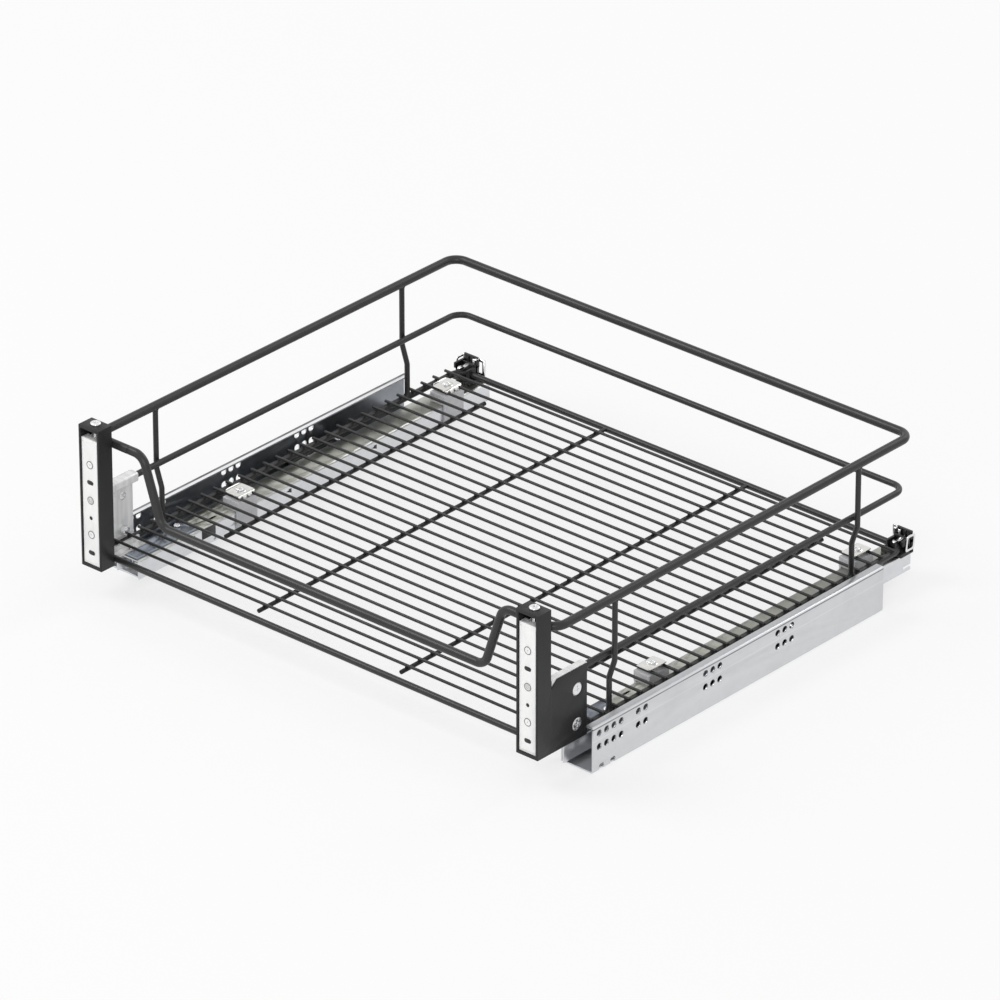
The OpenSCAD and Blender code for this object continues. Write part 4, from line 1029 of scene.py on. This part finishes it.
def lance(y, length=5.0, thick=0.9):
    """A tongue from the wall: its stand-off grows as the square of the way along Y."""
    u = np.linspace(0, 1, 9)[:, None]
    stand = 0.1 + 2.6 * u ** 2
    width = (LANCE_HIGH - LANCE_LOW) * (1 - 0.35 * u)
    z = np.array([[-0.5, 0.5, 0.5, -0.5]]) * width + (LANCE_LOW + LANCE_HIGH) / 2
    x = RAIL_INNER - stand + np.array([[0.0, 0.0, thick, thick]])
    return grid_of(x, y - length / 2 + length * u, z)


def slab(low, high, rim=0.25):
    """A thin block whose end rings are drawn in by the rim, so its edges are rounded."""
    low, size = np.asarray(low, float), np.subtract(high, low)
    edge = rim / size[1]
    along = np.array([0.0, 0.5 * edge, edge, 1 - edge, 1 - 0.5 * edge, 1.0])[:, None]
    pull = rim * np.array([1.0, 0.4, 0.0, 0.0, 0.4, 1.0])[:, None]
    x = low[0] + pull + np.array([0, 1, 1, 0]) * (size[0] - 2 * pull)
    z = low[2] + pull + np.array([0, 0, 1, 1]) * (size[2] - 2 * pull)
    return grid_of(x, low[1] + along * size[1], z)


lances = [lance(y) for y in LANCE_Y]
# Black slabs in the window and slots: painted shade, dark sheets for the shaded inside seen through them.
shade_fills = [slab((RAIL_INNER - 0.4, 119.8, 15.6), (RAIL_OUTER + 0.6, 137.2, 25.2), 0.3),
          slab((RAIL_INNER - 0.2, 108.5, 13.5), (RAIL_OUTER, 110.8, 23.5), 0.1)]
shade_fills += [slab((RAIL_INNER - 0.12, y + 2.6, 17.6), (RAIL_OUTER, y + 6.2, 21.8), 0.1) for y in LANCE_Y]
add_pair("rail_lances", lances, BRIGHT_STEEL, slot="galvanised_steel")
add_pair("rail_buffer", shade_fills, BLACK_PLASTIC, slot="black_plastic")
print("lances at", LANCE_Y)

# %% [markdown]
# At the rear, a black holder grips the corner of the bottom frame: a base under the wire,
# a rear wall, an ear and ribs between them. A bright sprung tongue lies along it, and a
# bright frame stands on its outer side. The walls are rounded slabs, and the frame is a
# loft between two rounded rectangles.

# %% Rear holders and clamps
WALLS = (
    ((241.0, 484.5, 26.6), (263.6, 502.3, 30.2)), ((245.5, 496.6, 28.0), (263.6, 499.0, 41.5)),
    ((246.5, 499.9, 28.0), (262.8, 502.3, 47.4)), ((245.5, 486.0, 28.0), (247.7, 501.8, 39.5)),
    ((245.5, 497.0, 38.0), (247.7, 502.3, 46.2)), ((261.4, 486.8, 37.0), (263.6, 501.8, 42.2)),
    ((261.4, 496.4, 28.0), (263.6, 501.8, 40.0)), ((247.0, 498.0, 38.6), (263.0, 501.6, 40.6)),
    ((251.0, 498.4, 29.0), (252.2, 501.0, 46.5)), ((256.0, 498.4, 29.0), (257.2, 501.0, 46.5)),
)
holder = [slab(low, high, 0.35) for low, high in WALLS]
add_pair("rear_holder", holder, BLACK_PLASTIC, "_moulded", smooth_below=50)


def frame_ring(centre, along, up, outer, inner, thick, chamfer=0.25, columns=64):
    """Rings of rounded rectangles, outer then inner, with every edge chamfered. The frame
    stands out to the right by its thickness."""
    angle = around(columns)
    spoke = np.cos(angle)[:, None] * along + np.sin(angle)[:, None] * up
    wide, hole = rounded_radius(angle, *outer, 7.0), rounded_radius(angle, *inner, 7.0)
    rows = [(wide - chamfer, 0.0), (wide, chamfer), (wide, thick - chamfer), (wide - chamfer, thick),
            (hole + chamfer, thick), (hole, thick - chamfer), (hole, chamfer), (hole + chamfer, 0.0)]
    return closed_grid(np.stack([np.array(centre) + r[:, None] * spoke + h * RIGHT for r, h in rows]), True)


def tongue(x, width, line, thick=0.8, columns=10):
    """A leaf of spring strip: a flat oval section carried along points (y, z)."""
    along = np.gradient(line, axis=0)
    along /= np.linalg.norm(along, axis=1, keepdims=True)
    angle = around(columns)
    ends = np.minimum(np.arange(len(line)), np.arange(len(line))[::-1])
    half = 0.5 * width * (1 - 0.45 * np.exp(-(ends / 1.2) ** 2))
    across = np.sign(np.cos(angle)) * np.abs(np.cos(angle)) ** 0.4
    rise = 0.5 * thick * np.sign(np.sin(angle)) * np.abs(np.sin(angle)) ** 0.6
    return grid_of(x + half[:, None] * across, line[:, :1] - along[:, 1:] * rise,
                   line[:, 1:] + along[:, :1] * rise)


u = np.linspace(0, 1, 18)
leaf = np.column_stack([484.5 + 15.5 * u, 39.2 + 1.6 * np.exp(-((u - 0.12) / 0.12) ** 2) + 1.5 * u ** 3])
clamps = [frame_ring((263.8, 496.6, 38.2), 0.97 * BACK, UP + 0.12 * BACK, (6.0, 7.6), (4.0, 5.4), 1.0),
          tongue(255.0, 4.2, leaf), slab((247.9, 498.7, 31.0), (252.2, 499.6, 45.4), 0.15),
          slab((245.6, 497.1, 45.9), (247.6, 502.2, 46.7), 0.15)]
add_pair("rear_clamp", clamps, BRIGHT_STEEL, slot="bright_steel", smooth_below=35)
print("rear clamps on", list(SIDES))

# %% [markdown]
# Each side plate is a sheet of its own behind the post's outer wall, so a thin dark seam
# shows where the two meet. It is a slim strip that stands 0.02 mm proud.

# %% Seams of the side plates
seam = [slab((264.9, 16.8, 28.6), (265.42, 17.3, 96.0), 0.02)]
add_pair("post_seam", seam, BLACK_PLASTIC, slot=SLOT_OF["post_left"])
print("seams", len(SIDES))

# %% [markdown]
# The springs of the self-closing units are coiled wire. The centre line is a helix and
# the wire's circle stands on it by the spoke and the axis, which suits a close coil.

# %% Coil springs
SPRING_WIRE = 0.4
SPRING_TURNS = 58


def coil(start, length, radius, steps=14, sides=8):
    """Along Y: centre = start + share * length + radius * (cos a, sin a), and a ring of the
    wire's radius * (spoke, axis) stands on it. The ends lie inside the length."""
    count = SPRING_TURNS * steps + 1
    share = np.linspace(0, 1, count)[:, None]
    angle = 2 * math.pi * SPRING_TURNS * share
    spoke = np.cos(angle) * RIGHT + np.sin(angle) * UP
    centre = start + BACK * SPRING_WIRE + share * BACK * (length - 2 * SPRING_WIRE) + radius * spoke
    ring = around(sides)[None, :, None]
    return closed_grid(centre[:, None] + SPRING_WIRE * (np.cos(ring) * spoke[:, None] + np.sin(ring) * BACK))


for side in SIDES:
    low, high = node_box(f"closer_spring_{side}")
    start = np.array([(low[0] + high[0]) / 2, low[1], (low[2] + high[2]) / 2])
    part = coil(start, high[1] - low[1], (high[0] - low[0]) / 2 - SPRING_WIRE)
    add_piece(f"closer_spring_{side}_coil", [part], SPRING_STEEL, f"closer_spring_{side}", smooth_below=60)
print("spring box", np.round(low, 1), np.round(high, 1))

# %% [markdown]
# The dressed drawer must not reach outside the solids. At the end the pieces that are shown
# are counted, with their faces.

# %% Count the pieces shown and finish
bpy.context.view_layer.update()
shown = [o for o in bpy.context.scene.objects if o.type == "MESH" and not o.hide_render]
print("pieces shown", len(shown), "faces", sum(len(o.data.polygons) for o in shown))
